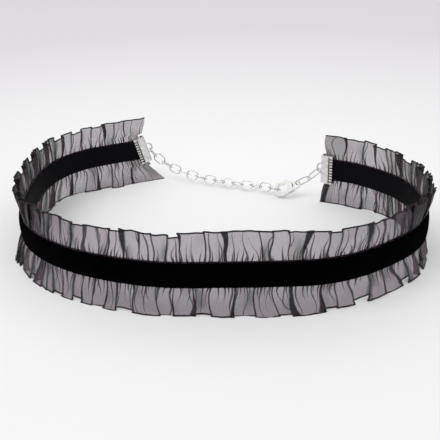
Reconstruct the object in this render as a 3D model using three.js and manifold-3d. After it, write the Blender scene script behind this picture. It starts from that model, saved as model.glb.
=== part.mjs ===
// A ruffled choker necklace: a velvet ribbon with two gathered organza ruffles sewn between it and a
// plain backing ribbon, a toothed metal crimp on each end, and a chain closed by a lobster clasp.
// Units are millimetres, +Z is up, and the choker stands on the hem of its lower ruffle.
import * as THREE from "three";
import { mergeVertices } from "three/addons/utils/BufferGeometryUtils.js";
import Module from "manifold-3d";

const wasm = await Module();
wasm.setup();

// Ribbons
const LOOP_WIDTH = 148; // of the ribbon's plan, left to right
const LOOP_DEPTH = 111; // of the ribbon's plan, front to back
const RIBBON_WIDTH = 9;
const RIBBON_THICK = 1;
const RIBBON_COLUMNS = 120;
const LEFT_RUN = 3.4; // that the ribbon runs straight on into its crimp, past the plan's end station
const RIGHT_RUN = 2.4;
const CLOTH_GAP = 0.3; // between sewn layers, and between metal and cloth

// Ruffles
const ORGANZA_THICK = 1;
const RUFFLE_DROP = 10.3; // from the ribbon's edge to the hem
const RUFFLE_TUCK = 3; // sewn in between the two ribbons
const FOLD_DEPTH = 1.3; // how far a panel stands in or out of the ribbon's line at the hem
const CREASE_WIDTH = 0.9; // over which one panel steps to the next
const PLEAT_WIDTH = 3; // of the widest folded-over pleat, at the hem
const PLEAT_THICK = 1.1; // of the two extra layers of a folded-over pleat
const PLEAT_EDGE = 0.3;
const HEM_RISE = 2; // the most that a hem falls short of its drop
const HEM_FLARE = 5; // the most that a hem leans out of the ribbon's line
const PUFF = 0.35; // bulge of a wide panel between its creases, as a share of the fold depth
const PUFF_WIDTH = 5; // panels wider than this bulge

// Crimps
const CRIMP_HEIGHT = 12.5;
const CRIMP_PLATE = 0.6;
const CRIMP_GRIP = 2.8; // of ribbon inside the jaws
const CRIMP_HEEL = 1; // from the ribbon's end to the inside of the spine
const CRIMP_SPINE_GAP = 1.7; // between the jaws at the spine
const TOOTH_COUNT = 10;
const TOOTH_LENGTH = 0.6;
const LOOP_RADIUS = 2.15; // centre line of the half ring on the spine
const LOOP_WIRE = 0.8;
const LEFT_CRIMP_LEAN = 14; // degrees, as it was clamped on

// Chain and rings
const CHAIN_WIRE = 0.65;
const LINK_COUNT = 14; // even, so that the first link crosses the left ring
const LINK_WIDTH = 4.4;
const LINK_SLACK = 0.3;
const HOOK_SLACK = 0.75;
const LEFT_RING_LENGTH = 5.6;
const LEFT_RING_WIDTH = 4.8;
const RIGHT_RING_LENGTH = 7.7;
const RIGHT_RING_WIDTH = 4.7;
const TAIL_LENGTH = 7.2; // of the link between the right ring and the clasp
const LINK_SIDES = 14;
const WIRE_SIDES = 6;

// Clasp, along its own length from the nose of the hook to the eye
const CLASP_LENGTH = 12;
const CLASP_WIDTH = 6.4;
const CLASP_THICK = 2.6;
const EYE_THICK = 1.1;
const EYE_LENGTH = 3.6; // of the thin part round the eye
const HOOK_THICK = 1.4;
const HOOK_ARM = 1.25;
const EYE_RADIUS = 1.8;
const EYE_HOLE = 1.05;
const LEVER_THICK = 1;
const LEVER_WIDTH = 1.1;
const LEVER_HEEL = 1.15;
const LEVER_INSET = 0.33; // of its outer side from the hook's widest
const LEVER_CHAMFER = 0.11;
const LEVER_NECK = 1.84; // from the pivot to where the lever narrows
const TAB_FROM = 2.4; // where the thumb tab starts, crests and ends, before the pivot
const TAB_CREST = 1.75;
const TAB_TO = 0.9;
const TAB_RISE = 0.88;
const TAB_FALL = 0.77;
const PIVOT_PIN = 0.35;
const PIVOT_ALONG = 7.3;
const PIVOT_DROP = 0.96; // towards the lever's side
const NOSE_LENGTH = 2.55;
const GATE_EDGE = 0.88; // from the clasp's middle to the gate that the lever shuts
const HOLLOW_END = 1.56; // radius of the hollow's end next to the lever
const HOLLOW_SETBACK = 1.07;
const HOOKED_DROP = 0.29; // of the hooked link's wire towards the lever's side
const CLASP_GAP = 0.3;
const CLASP_ROLL = -38; // degrees that the clasp's face leans back from upright

// The ribbon's plan, seen from above, from its left end round the front to its right end. Each station
// is a share of the plan's width from the middle and of its depth from the front.
const PLAN = [
  { across: -0.245, back: 1 },
  { across: -0.326, back: 0.963 },
  { across: -0.395, back: 0.922 },
  { across: -0.457, back: 0.841 },
  { across: -0.489, back: 0.734 },
  { across: -0.498, back: 0.595 },
  { across: -0.493, back: 0.45 },
  { across: -0.47, back: 0.327 },
  { across: -0.428, back: 0.24 },
  { across: -0.354, back: 0.152 },
  { across: -0.259, back: 0.083 },
  { across: -0.128, back: 0.028 },
  { across: 0.001, back: 0.012 },
  { across: 0.126, back: 0.004 },
  { across: 0.211, back: 0.005 },
  { across: 0.299, back: 0.035 },
  { across: 0.398, back: 0.111 },
  { across: 0.447, back: 0.166 },
  { across: 0.482, back: 0.236 },
  { across: 0.501, back: 0.342 },
  { across: 0.497, back: 0.437 },
  { across: 0.476, back: 0.525 },
  { across: 0.443, back: 0.59 },
  { across: 0.39, back: 0.66 },
  { across: 0.326, back: 0.712 },
];

// Creases of each ruffle, left end to right end. hem and root are shares of the ribbon's length at the
// hem and at the ribbon's edge, level is how far the panel after the crease stands out, as a share of the
// fold depth, pleat is the width of a folded-over pleat as a share of the widest, and rise is how far
// that panel's hem falls short, as a share of the most.
const UPPER_CREASES = [
  { hem: 0.0135, root: 0.0157, level: -0.5, pleat: 0, rise: 0 },
  { hem: 0.0278, root: 0.0307, level: 0.4, pleat: 0, rise: 0.1 },
  { hem: 0.0439, root: 0.0439, level: -0.7, pleat: 0.6, rise: 0.2 },
  { hem: 0.06, root: 0.0642, level: 0.6, pleat: 0, rise: 0.1 },
  { hem: 0.076, root: 0.0781, level: -0.4, pleat: 0, rise: 0.5 },
  { hem: 0.0918, root: 0.0951, level: 0.8, pleat: 0, rise: 0.1 },
  { hem: 0.1079, root: 0.1099, level: -0.8, pleat: 0, rise: 0.4 },
  { hem: 0.1228, root: 0.1228, level: 1, pleat: 0.5, rise: 0 },
  { hem: 0.1395, root: 0.1426, level: -0.6, pleat: 0, rise: 0.4 },
  { hem: 0.1578, root: 0.1609, level: 0.7, pleat: 0, rise: 0.1 },
  { hem: 0.1757, root: 0.1786, level: -0.8, pleat: 0, rise: 0.4 },
  { hem: 0.1956, root: 0.1956, level: 0.6, pleat: 0.6, rise: 0 },
  { hem: 0.2155, root: 0.2134, level: -0.6, pleat: 0, rise: 0.3 },
  { hem: 0.2343, root: 0.2322, level: 0.9, pleat: 0, rise: 0 },
  { hem: 0.253, root: 0.2519, level: -0.7, pleat: 0.5, rise: 0.2 },
  { hem: 0.2717, root: 0.2708, level: 0.5, pleat: 0, rise: 0.1 },
  { hem: 0.2894, root: 0.2873, level: -0.8, pleat: 0, rise: 0.3 },
  { hem: 0.3079, root: 0.3049, level: 0.8, pleat: 0, rise: 0 },
  { hem: 0.3266, root: 0.3227, level: -0.5, pleat: 0.6, rise: 0.2 },
  { hem: 0.3455, root: 0.3406, level: 0.7, pleat: 0, rise: 0 },
  { hem: 0.3645, root: 0.3596, level: -0.6, pleat: 0.6, rise: 0.3 },
  { hem: 0.3805, root: 0.3785, level: 0.5, pleat: 0, rise: 0.2 },
  { hem: 0.3956, root: 0.3914, level: -0.8, pleat: 0.7, rise: 0.9 },
  { hem: 0.4135, root: 0.4105, level: 0.9, pleat: 0, rise: 0.1 },
  { hem: 0.4277, root: 0.4266, level: -0.3, pleat: 0, rise: 0.4 },
  { hem: 0.4416, root: 0.4357, level: 0.4, pleat: 0, rise: 0.3 },
  { hem: 0.4547, root: 0.4547, level: -0.5, pleat: 0.8, rise: 0.2 },
  { hem: 0.4737, root: 0.4718, level: 0.5, pleat: 0, rise: 0 },
  { hem: 0.4859, root: 0.4859, level: -0.2, pleat: 0, rise: 0.4 },
  { hem: 0.5017, root: 0.4987, level: -0.9, pleat: 0, rise: 1 },
  { hem: 0.5128, root: 0.5128, level: 0.5, pleat: 0.4, rise: 0 },
  { hem: 0.5369, root: 0.5357, level: 0, pleat: 0, rise: 0 },
  { hem: 0.5561, root: 0.5561, level: -0.7, pleat: 0.8, rise: 0.1 },
  { hem: 0.5892, root: 0.5923, level: 0.3, pleat: 0, rise: 0 },
  { hem: 0.6024, root: 0.5994, level: -0.4, pleat: 0, rise: 0 },
  { hem: 0.6175, root: 0.6175, level: 0.2, pleat: 0, rise: 0 },
  { hem: 0.6375, root: 0.6315, level: 0.7, pleat: 0.8, rise: 0 },
  { hem: 0.6557, root: 0.6547, level: -0.7, pleat: 0, rise: 0.6 },
  { hem: 0.6677, root: 0.6656, level: 0.4, pleat: 0, rise: 0 },
  { hem: 0.6827, root: 0.6808, level: -0.4, pleat: 0, rise: 0.2 },
  { hem: 0.6975, root: 0.6986, level: 0.7, pleat: 1, rise: 0.2 },
  { hem: 0.7145, root: 0.7173, level: -0.7, pleat: 0, rise: 0.6 },
  { hem: 0.7282, root: 0.7331, level: 0.6, pleat: 0, rise: 0 },
  { hem: 0.7432, root: 0.7452, level: -0.5, pleat: 0, rise: 0.1 },
  { hem: 0.7589, root: 0.7597, level: 0.8, pleat: 0.6, rise: 0 },
  { hem: 0.7751, root: 0.7761, level: -0.7, pleat: 0, rise: 0.3 },
  { hem: 0.7916, root: 0.7916, level: 0.7, pleat: 0, rise: 0 },
  { hem: 0.8086, root: 0.8086, level: -0.6, pleat: 0.6, rise: 0.2 },
  { hem: 0.8262, root: 0.8252, level: 0.8, pleat: 0, rise: 0 },
  { hem: 0.8447, root: 0.8417, level: -0.7, pleat: 0, rise: 0.4 },
  { hem: 0.8602, root: 0.8583, level: 0.9, pleat: 0.5, rise: 0 },
  { hem: 0.8761, root: 0.875, level: -0.5, pleat: 0, rise: 0.3 },
  { hem: 0.9019, root: 0.8999, level: 0.5, pleat: 0.9, rise: 0.1 },
  { hem: 0.9252, root: 0.9202, level: -0.6, pleat: 0, rise: 0.2 },
  { hem: 0.9413, root: 0.9373, level: 0.6, pleat: 0.4, rise: 0 },
  { hem: 0.9565, root: 0.9586, level: -0.5, pleat: 0, rise: 0.1 },
  { hem: 0.9832, root: 0.9842, level: 0.3, pleat: 0.4, rise: 0 },
];
const LOWER_CREASES = [
  { hem: 0.0115, root: 0.0125, level: 0.5, pleat: 0.5, rise: 0 },
  { hem: 0.0268, root: 0.0246, level: -0.5, pleat: 0, rise: 0 },
  { hem: 0.0428, root: 0.0399, level: 0.5, pleat: 0, rise: 0.1 },
  { hem: 0.0631, root: 0.06, level: -0.6, pleat: 0.7, rise: 0.1 },
  { hem: 0.0835, root: 0.0781, level: 0.4, pleat: 0, rise: 0 },
  { hem: 0.1035, root: 0.0981, level: -0.7, pleat: 0.6, rise: 0.3 },
  { hem: 0.126, root: 0.1176, level: 0.8, pleat: 0, rise: 0 },
  { hem: 0.1426, root: 0.1365, level: -0.7, pleat: 0.6, rise: 0.4 },
  { hem: 0.1609, root: 0.1538, level: 0.8, pleat: 0, rise: 0 },
  { hem: 0.1786, root: 0.1708, level: -0.6, pleat: 0, rise: 0.3 },
  { hem: 0.1966, root: 0.1897, level: 0.7, pleat: 0.6, rise: 0 },
  { hem: 0.2155, root: 0.2104, level: -0.6, pleat: 0, rise: 0.2 },
  { hem: 0.2343, root: 0.2312, level: 0.9, pleat: 0, rise: 0 },
  { hem: 0.2539, root: 0.2519, level: -0.6, pleat: 0.5, rise: 0.2 },
  { hem: 0.2717, root: 0.2708, level: 0.7, pleat: 0, rise: 0 },
  { hem: 0.2883, root: 0.2883, level: -0.7, pleat: 0, rise: 0.3 },
  { hem: 0.3029, root: 0.3059, level: 0.6, pleat: 0.6, rise: 0 },
  { hem: 0.3177, root: 0.3238, level: -0.7, pleat: 0, rise: 0.3 },
  { hem: 0.3307, root: 0.3406, level: 0.9, pleat: 0, rise: 0 },
  { hem: 0.3626, root: 0.3596, level: -0.4, pleat: 0, rise: 0.2 },
  { hem: 0.3755, root: 0.3755, level: 0.6, pleat: 0, rise: 0 },
  { hem: 0.3895, root: 0.3936, level: -0.7, pleat: 0, rise: 0.6 },
  { hem: 0.4015, root: 0.4055, level: 0.4, pleat: 0, rise: 0.1 },
  { hem: 0.4135, root: 0.4186, level: -0.1, pleat: 0, rise: 0 },
  { hem: 0.4277, root: 0.4327, level: 0.8, pleat: 0, rise: 0 },
  { hem: 0.4416, root: 0.4444, level: -0.4, pleat: 0, rise: 0.4 },
  { hem: 0.4608, root: 0.4637, level: 0.4, pleat: 0, rise: 0.1 },
  { hem: 0.4887, root: 0.4859, level: -0.4, pleat: 0, rise: 0 },
  { hem: 0.5029, root: 0.5047, level: 0.3, pleat: 0, rise: 0.1 },
  { hem: 0.5217, root: 0.5229, level: -0.5, pleat: 0.7, rise: 0.1 },
  { hem: 0.5408, root: 0.5408, level: 0.3, pleat: 0, rise: 0.1 },
  { hem: 0.5612, root: 0.565, level: -0.3, pleat: 0.6, rise: 0 },
  { hem: 0.5851, root: 0.5851, level: 0.3, pleat: 0, rise: 0 },
  { hem: 0.6082, root: 0.6024, level: -0.4, pleat: 0, rise: 0.1 },
  { hem: 0.6255, root: 0.6205, level: 0.5, pleat: 0.9, rise: 0 },
  { hem: 0.6516, root: 0.6506, level: -0.6, pleat: 0.8, rise: 0.2 },
  { hem: 0.6677, root: 0.6638, level: 0, pleat: 0, rise: 0.1 },
  { hem: 0.6857, root: 0.6786, level: -0.8, pleat: 0, rise: 0.8 },
  { hem: 0.7034, root: 0.7015, level: 0.7, pleat: 0.7, rise: 0.3 },
  { hem: 0.7252, root: 0.7184, level: 0.2, pleat: 0, rise: 0 },
  { hem: 0.7491, root: 0.7352, level: -0.8, pleat: 0, rise: 0.6 },
  { hem: 0.7627, root: 0.752, level: 0.6, pleat: 0.7, rise: 0.1 },
  { hem: 0.7781, root: 0.7703, level: -0.7, pleat: 0, rise: 0.3 },
  { hem: 0.7935, root: 0.7887, level: 0.8, pleat: 0, rise: 0 },
  { hem: 0.8086, root: 0.8068, level: -0.6, pleat: 0.6, rise: 0.3 },
  { hem: 0.8252, root: 0.8252, level: 0.9, pleat: 0, rise: 0 },
  { hem: 0.8417, root: 0.8427, level: -0.7, pleat: 0, rise: 0.3 },
  { hem: 0.8583, root: 0.8602, level: 0.7, pleat: 0.5, rise: 0 },
  { hem: 0.8761, root: 0.879, level: -0.6, pleat: 0, rise: 0.4 },
  { hem: 0.8939, root: 0.8999, level: 0.7, pleat: 0, rise: 0 },
  { hem: 0.9161, root: 0.9191, level: -0.8, pleat: 0.6, rise: 0.5 },
  { hem: 0.9353, root: 0.9363, level: 0.7, pleat: 0, rise: 0 },
  { hem: 0.9565, root: 0.9575, level: -0.4, pleat: 0.6, rise: 0.1 },
  { hem: 0.9761, root: 0.9761, level: 0.3, pleat: 0, rise: 0.1 },
];

// How far each ruffle's hem leans out from the ribbon's line, as a share of the most, at shares of the
// ribbon's length.
const FLARES = [
  { at: 0, upper: -0.06, lower: -0.7 },
  { at: 0.03, upper: 0, lower: -0.76 },
  { at: 0.065, upper: -0.1, lower: -0.52 },
  { at: 0.1, upper: -0.36, lower: 0.16 },
  { at: 0.14, upper: -0.16, lower: 0.24 },
  { at: 0.2, upper: 0, lower: 0.5 },
  { at: 0.265, upper: 0.06, lower: 1 },
  { at: 0.285, upper: 0.06, lower: 0.76 },
  { at: 0.32, upper: 0, lower: 0.48 },
  { at: 0.37, upper: -0.16, lower: 0.36 },
  { at: 0.42, upper: -0.16, lower: 0.4 },
  { at: 0.48, upper: 0.04, lower: 0.36 },
  { at: 0.52, upper: -0.12, lower: 0.24 },
  { at: 0.57, upper: -0.06, lower: 0.42 },
  { at: 0.61, upper: -0.08, lower: 0.4 },
  { at: 0.64, upper: 0.08, lower: 0.2 },
  { at: 0.67, upper: 0.32, lower: 0.14 },
  { at: 0.7, upper: 0.28, lower: 0.14 },
  { at: 0.74, upper: 0.14, lower: 0.24 },
  { at: 0.79, upper: 0.28, lower: 0.22 },
  { at: 0.82, upper: 0.12, lower: 0.24 },
  { at: 0.85, upper: 0.04, lower: 0.3 },
  { at: 0.88, upper: -0.3, lower: 0.24 },
  { at: 0.93, upper: -0.12, lower: 0.04 },
  { at: 0.98, upper: -0.12, lower: -0.32 },
  { at: 1, upper: -0.16, lower: -0.36 },
];

// How far each ruffle's free corner runs past the ribbon's end at the hem.
const HEM_ENDS = { upperLeft: 0.6, lowerLeft: 8, upperRight: 0.4, lowerRight: 1.6 };

// The chain's way, from the left crimp's half ring to the clasp and from the right one's to the clasp's
// eye. along is a share of the span between the two half rings, front is towards the choker's front
// and up is above the surface that it stands on.
const LEFT_ROUTE = [
  { along: 0.045, front: 0, up: 10.6 },
  { along: 0.09, front: 0, up: 8.4 },
  { along: 0.145, front: 0, up: 6.2 },
  { along: 0.205, front: 0.1, up: 4.8 },
  { along: 0.28, front: 0.3, up: 3.8 },
  { along: 0.37, front: 0.5, up: 3 },
  { along: 0.5, front: 0.3, up: 2.6 },
  { along: 0.62, front: 0.4, up: 2.7 },
  { along: 0.7, front: 0.8, up: 3 },
];
const RIGHT_ROUTE = [
  { along: 0.93, front: 0.2, up: 8.8 },
  { along: 0.865, front: 1, up: 5.7 },
  { along: 0.8, front: 2, up: 3.6 },
];
const CLASP_HEADING = { along: -0.88, front: 0.16, up: -0.4 };

// Degrees that each of these is turned from square through what it hangs in.
const LEFT_RING_TWIST = -8;
const RIGHT_RING_TWIST = -25;
const TAIL_TWIST = 18;
const HOOKED_TWIST = 0;

// How far each chain link's width is rolled from upright, counted from the one in the hook.
const LINK_ROLLS = [62, -30, 50, -40, 46, -44, 48, -38, 56, -30, 60, -22, 66, -16];

const RIBBON_MIDDLE = RUFFLE_DROP + RIBBON_WIDTH / 2;
const RIBBON_FACE = ORGANZA_THICK / 2 + CLOTH_GAP; // from the middle of the sewn stack
const RIBBON_BACK = RIBBON_FACE + RIBBON_THICK;
const JAW_FACE = RIBBON_BACK + CLOTH_GAP;
const UP = new THREE.Vector3(0, 0, 1);

const plan = new THREE.CatmullRomCurve3(
  PLAN.map((station) => new THREE.Vector3(station.across * LOOP_WIDTH, station.back * LOOP_DEPTH, 0)),
  false,
  "centripetal",
);
plan.arcLengthDivisions = 720;
const RIBBON_LENGTH = plan.getLength();

// The direction of the ribbon at a distance from its left end, and straight on past either end.
function ribbonHeading(distance) {
  const share = THREE.MathUtils.clamp(distance / RIBBON_LENGTH, 0, 1);
  return plan.getTangentAt(share).setZ(0).normalize();
}

function outwardOf(heading) {
  return new THREE.Vector3(heading.y, -heading.x, 0);
}

// A point at a distance along the ribbon, out from its line, and above the surface it stands on.
function ribbonPoint(distance, out, up) {
  const share = THREE.MathUtils.clamp(distance / RIBBON_LENGTH, 0, 1);
  const heading = ribbonHeading(distance);
  const past = distance - share * RIBBON_LENGTH;
  return plan
    .getPointAt(share)
    .addScaledVector(heading, past)
    .addScaledVector(outwardOf(heading), out)
    .setZ(up);
}

// The left end is cut on the slant that its crimp leans at, which fades out over the first stretch.
function slanted(distance, up) {
  const fade = THREE.MathUtils.clamp(1 - (distance + LEFT_RUN) / (2 * RIBBON_WIDTH), 0, 1);
  return distance + Math.tan(THREE.MathUtils.degToRad(LEFT_CRIMP_LEAN)) * (up - RIBBON_MIDDLE) * fade;
}

// How far out a ruffle's hem leans at a share of the ribbon's length. edge is upper or lower.
function flareAt(share, edge) {
  const after = FLARES.find((row) => row.at >= share) ?? FLARES.at(-1);
  const before = FLARES.findLast((row) => row.at <= share) ?? FLARES[0];
  const way = after === before ? 0 : (share - before.at) / (after.at - before.at);
  return HEM_FLARE * THREE.MathUtils.lerp(before[edge], after[edge], way);
}

function withFacesOut(geometry) {
  const position = geometry.getAttribute("position");
  const index = geometry.index.array;
  const corner = [new THREE.Vector3(), new THREE.Vector3(), new THREE.Vector3()];
  let volume = 0;
  for (let i = 0; i < index.length; i += 3) {
    corner.forEach((c, k) => c.fromBufferAttribute(position, index[i + k]));
    volume += corner[0].dot(corner[1].clone().cross(corner[2]));
  }
  if (volume < 0) {
    for (let i = 0; i < index.length; i += 3) {
      [index[i + 1], index[i + 2]] = [index[i + 2], index[i + 1]];
    }
  }
  geometry.computeVertexNormals();
  return geometry;
}

// A closed wall from rows of columns, each a pair of points on its outer and inner face.
function wallGeometry(rows) {
  const columns = rows[0].length;
  const points = rows.flat().flatMap((pair) => [pair.outer, pair.inner]);
  const at = (row, column, side) => 2 * (row * columns + column) + side;
  const index = [];
  const quad = (a, b, c, d) => index.push(a, b, c, a, c, d);
  for (let row = 0; row + 1 < rows.length; row++) {
    for (let column = 0; column + 1 < columns; column++) {
      quad(at(row, column, 0), at(row, column + 1, 0), at(row + 1, column + 1, 0), at(row + 1, column, 0));
      quad(at(row, column, 1), at(row + 1, column, 1), at(row + 1, column + 1, 1), at(row, column + 1, 1));
    }
    quad(at(row, 0, 0), at(row + 1, 0, 0), at(row + 1, 0, 1), at(row, 0, 1));
    const end = columns - 1;
    quad(at(row, end, 0), at(row, end, 1), at(row + 1, end, 1), at(row + 1, end, 0));
  }
  const top = rows.length - 1;
  for (let column = 0; column + 1 < columns; column++) {
    quad(at(0, column, 0), at(0, column, 1), at(0, column + 1, 1), at(0, column + 1, 0));
    quad(at(top, column, 0), at(top, column + 1, 0), at(top, column + 1, 1), at(top, column, 1));
  }
  const geometry = new THREE.BufferGeometry().setFromPoints(points);
  geometry.setIndex(index);
  return withFacesOut(geometry);
}

function ribbonGeometry(innerFace, outerFace) {
  const edges = [RIBBON_MIDDLE - RIBBON_WIDTH / 2, RIBBON_MIDDLE + RIBBON_WIDTH / 2];
  const rows = edges.map((up) =>
    Array.from({ length: RIBBON_COLUMNS + 1 }, (_, column) => {
      const share = column / RIBBON_COLUMNS;
      const distance = slanted(THREE.MathUtils.lerp(-LEFT_RUN, RIBBON_LENGTH + RIGHT_RUN, share), up);
      return { outer: ribbonPoint(distance, outerFace, up), inner: ribbonPoint(distance, innerFace, up) };
    }),
  );
  return wallGeometry(rows);
}

// The columns of a ruffle: where each stands at the hem and at the ribbon, how far out, whether it is on
// a folded-over pleat, and how far its hem falls short.
function ruffleColumns(creases, leftEnd, rightEnd) {
  const columns = [];
  const add = (hem, root, level, pleat, rise) => columns.push({ hem, root, level, pleat, rise });
  let level = 0;
  let rise = 0;
  add(-LEFT_RUN - leftEnd, -LEFT_RUN, level, 0, rise);
  creases.forEach((crease, i) => {
    const hem = crease.hem * RIBBON_LENGTH;
    const root = crease.root * RIBBON_LENGTH;
    const half = crease.pleat ? (crease.pleat * PLEAT_WIDTH) / 2 : CREASE_WIDTH / 2;
    const rootHalf = CREASE_WIDTH / 3;
    if (crease.pleat) {
      add(hem - half - PLEAT_EDGE, root - rootHalf - PLEAT_EDGE, level, 0, rise);
    }
    add(hem - half, root - rootHalf, level, crease.pleat ? 1 : 0, rise);
    add(hem + half, root + rootHalf, crease.level, crease.pleat ? 1 : 0, crease.rise);
    if (crease.pleat) {
      add(hem + half + PLEAT_EDGE, root + rootHalf + PLEAT_EDGE, crease.level, 0, crease.rise);
    }
    level = crease.level;
    rise = crease.rise;
    const next = creases[i + 1];
    if (next && (next.hem - crease.hem) * RIBBON_LENGTH > PUFF_WIDTH) {
      const middle = ((next.hem + crease.hem) / 2) * RIBBON_LENGTH;
      const rootMiddle = ((next.root + crease.root) / 2) * RIBBON_LENGTH;
      add(middle, rootMiddle, level + PUFF * Math.sign(level || 1), 0, rise);
    }
  });
  const end = RIBBON_LENGTH + RIGHT_RUN;
  add(end + rightEnd, end, 0, 0, 0);
  return columns;
}

// One organza ruffle. edge is upper or lower, and side is 1 for the upper and -1 for the lower.
function ruffleGeometry(creases, edge, side, leftEnd, rightEnd) {
  const columns = ruffleColumns(creases, leftEnd, rightEnd);
  const crimpEdge = (CRIMP_HEIGHT - RIBBON_WIDTH) / 2 + CLOTH_GAP;
  // reach is from the ribbon's edge, open is how far the folds have opened, spread how far they have
  // moved from root to hem
  const bands = [
    { reach: -RUFFLE_TUCK, open: 0, spread: 0 },
    { reach: CLOTH_GAP, open: 0, spread: 0 },
    { reach: crimpEdge, open: 0.32, spread: 0.02 },
    { reach: crimpEdge + (RUFFLE_DROP - crimpEdge) * 0.45, open: 0.72, spread: 0.5 },
    { reach: RUFFLE_DROP, open: 1, spread: 1 },
  ];
  const rows = bands.map((band) => {
    const middles = columns.map((column) => {
      const short = column.rise * HEM_RISE * Math.max(0, band.spread);
      const up = RIBBON_MIDDLE + side * (RIBBON_WIDTH / 2 + band.reach - short);
      const distance = THREE.MathUtils.lerp(column.root, column.hem, band.spread);
      const flare = flareAt(column.root / RIBBON_LENGTH, edge);
      const out = (column.level * FOLD_DEPTH + flare) * band.open;
      const slant = band.spread > 0.1 ? distance : slanted(distance, up);
      return ribbonPoint(slant, out, up);
    });
    return middles.map((middle, i) => {
      const before = middles[Math.max(0, i - 1)];
      const after = middles[Math.min(middles.length - 1, i + 1)];
      const into = middle.clone().sub(before).setZ(0).normalize();
      const from = after.clone().sub(middle).setZ(0).normalize();
      const heading = into.clone().add(from).normalize();
      const straight = i > 0 && i < middles.length - 1 ? heading.dot(from) : 1;
      const mitre = 1 / Math.max(straight, 0.7);
      const outward = outwardOf(heading);
      const pleat = columns[i].pleat * PLEAT_THICK * band.open;
      return {
        outer: middle.clone().addScaledVector(outward, (ORGANZA_THICK / 2) * mitre + pleat),
        inner: middle.clone().addScaledVector(outward, (-ORGANZA_THICK / 2) * mitre),
      };
    });
  });
  return wallGeometry(rows);
}

function solidOf(geometry, matrix = new THREE.Matrix4()) {
  const plain = geometry.clone();
  plain.deleteAttribute("normal");
  plain.deleteAttribute("uv");
  const merged = mergeVertices(plain.applyMatrix4(matrix), 1e-4);
  return new wasm.Manifold(
    new wasm.Mesh({
      numProp: 3,
      vertProperties: new Float32Array(merged.getAttribute("position").array),
      triVerts: new Uint32Array(merged.index.array),
    }),
  );
}

function geometryOf(solid) {
  const mesh = solid.getMesh();
  const geometry = new THREE.BufferGeometry();
  geometry.setAttribute("position", new THREE.BufferAttribute(new Float32Array(mesh.vertProperties), 3));
  geometry.setIndex(new THREE.BufferAttribute(new Uint32Array(mesh.triVerts), 1));
  geometry.computeVertexNormals();
  return geometry;
}

function shift(x, y, z) {
  return new THREE.Matrix4().makeTranslation(x, y, z);
}

function box(x0, x1, y0, y1, z0, z1) {
  const geometry = new THREE.BoxGeometry(x1 - x0, y1 - y0, z1 - z0);
  return solidOf(geometry, shift((x0 + x1) / 2, (y0 + y1) / 2, (z0 + z1) / 2));
}

// An outline in x and y, extruded evenly to both sides of z = 0.
function plate(shape, thickness, curveSegments = 8) {
  const geometry = new THREE.ExtrudeGeometry(shape, { depth: thickness, bevelEnabled: false, curveSegments });
  return solidOf(geometry, shift(0, 0, -thickness / 2));
}

// One jaw in x along the ribbon and y up, its free edge cut into teeth.
function jawShape() {
  const half = CRIMP_HEIGHT / 2;
  const pitch = CRIMP_HEIGHT / TOOTH_COUNT;
  const shape = new THREE.Shape();
  shape.moveTo(CLOTH_GAP, half);
  shape.lineTo(-CRIMP_GRIP, half);
  for (let tooth = 0; tooth < TOOTH_COUNT; tooth++) {
    shape.lineTo(-CRIMP_GRIP - TOOTH_LENGTH, half - (tooth + 0.5) * pitch);
    shape.lineTo(-CRIMP_GRIP, half - (tooth + 1) * pitch);
  }
  shape.lineTo(CLOTH_GAP, -half);
  return shape;
}

// The folded back of the crimp in x along the ribbon and y through it.
function spineShape() {
  const spine = CRIMP_HEEL + CLOTH_GAP;
  const shape = new THREE.Shape();
  shape.moveTo(0, JAW_FACE);
  shape.lineTo(CLOTH_GAP, JAW_FACE);
  shape.lineTo(spine, CRIMP_SPINE_GAP / 2);
  shape.lineTo(spine, -CRIMP_SPINE_GAP / 2);
  shape.lineTo(CLOTH_GAP, -JAW_FACE);
  shape.lineTo(0, -JAW_FACE);
  shape.lineTo(0, -JAW_FACE - CRIMP_PLATE);
  shape.lineTo(CLOTH_GAP + CRIMP_PLATE / 2, -JAW_FACE - CRIMP_PLATE);
  shape.lineTo(spine + CRIMP_PLATE, -CRIMP_SPINE_GAP / 2 - CRIMP_PLATE / 2);
  shape.lineTo(spine + CRIMP_PLATE, CRIMP_SPINE_GAP / 2 + CRIMP_PLATE / 2);
  shape.lineTo(CLOTH_GAP + CRIMP_PLATE / 2, JAW_FACE + CRIMP_PLATE);
  shape.lineTo(0, JAW_FACE + CRIMP_PLATE);
  return shape;
}

const SPINE_BACK = CRIMP_HEEL + CLOTH_GAP + CRIMP_PLATE;

// A crimp in its own frame: x out of the ribbon's end, y through the ribbon and z up its width.
function crimpGeometry() {
  const upright = new THREE.Matrix4().makeRotationX(Math.PI / 2);
  const jawOffset = JAW_FACE + CRIMP_PLATE / 2;
  const jaw = new THREE.ExtrudeGeometry(jawShape(), { depth: CRIMP_PLATE, bevelEnabled: false });
  jaw.translate(0, 0, -CRIMP_PLATE / 2).applyMatrix4(upright);
  const loop = new THREE.TorusGeometry(LOOP_RADIUS, LOOP_WIRE / 2, 8, 20).applyMatrix4(upright);
  const trim = box(
    SPINE_BACK - CRIMP_PLATE / 2,
    SPINE_BACK + 2 * LOOP_RADIUS,
    -LOOP_WIRE,
    LOOP_WIRE,
    -2 * LOOP_RADIUS,
    2 * LOOP_RADIUS,
  );
  const solid = plate(spineShape(), CRIMP_HEIGHT)
    .add(solidOf(jaw, shift(0, jawOffset, 0)))
    .add(solidOf(jaw, shift(0, -jawOffset, 0)))
    .add(solidOf(loop, shift(SPINE_BACK, 0, 0)).intersect(trim));
  return geometryOf(solid);
}

// An oval link in its own frame: its length along x, lying in the plane of x and y.
function linkGeometry(length, width, wire) {
  const geometry = new THREE.TorusGeometry((width - wire) / 2, wire / 2, WIRE_SIDES, LINK_SIDES);
  const position = geometry.getAttribute("position");
  const stretch = (length - width) / 2;
  for (let i = 0; i < position.count; i++) {
    position.setX(i, position.getX(i) + Math.sign(position.getX(i)) * stretch);
  }
  return geometry;
}

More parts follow.
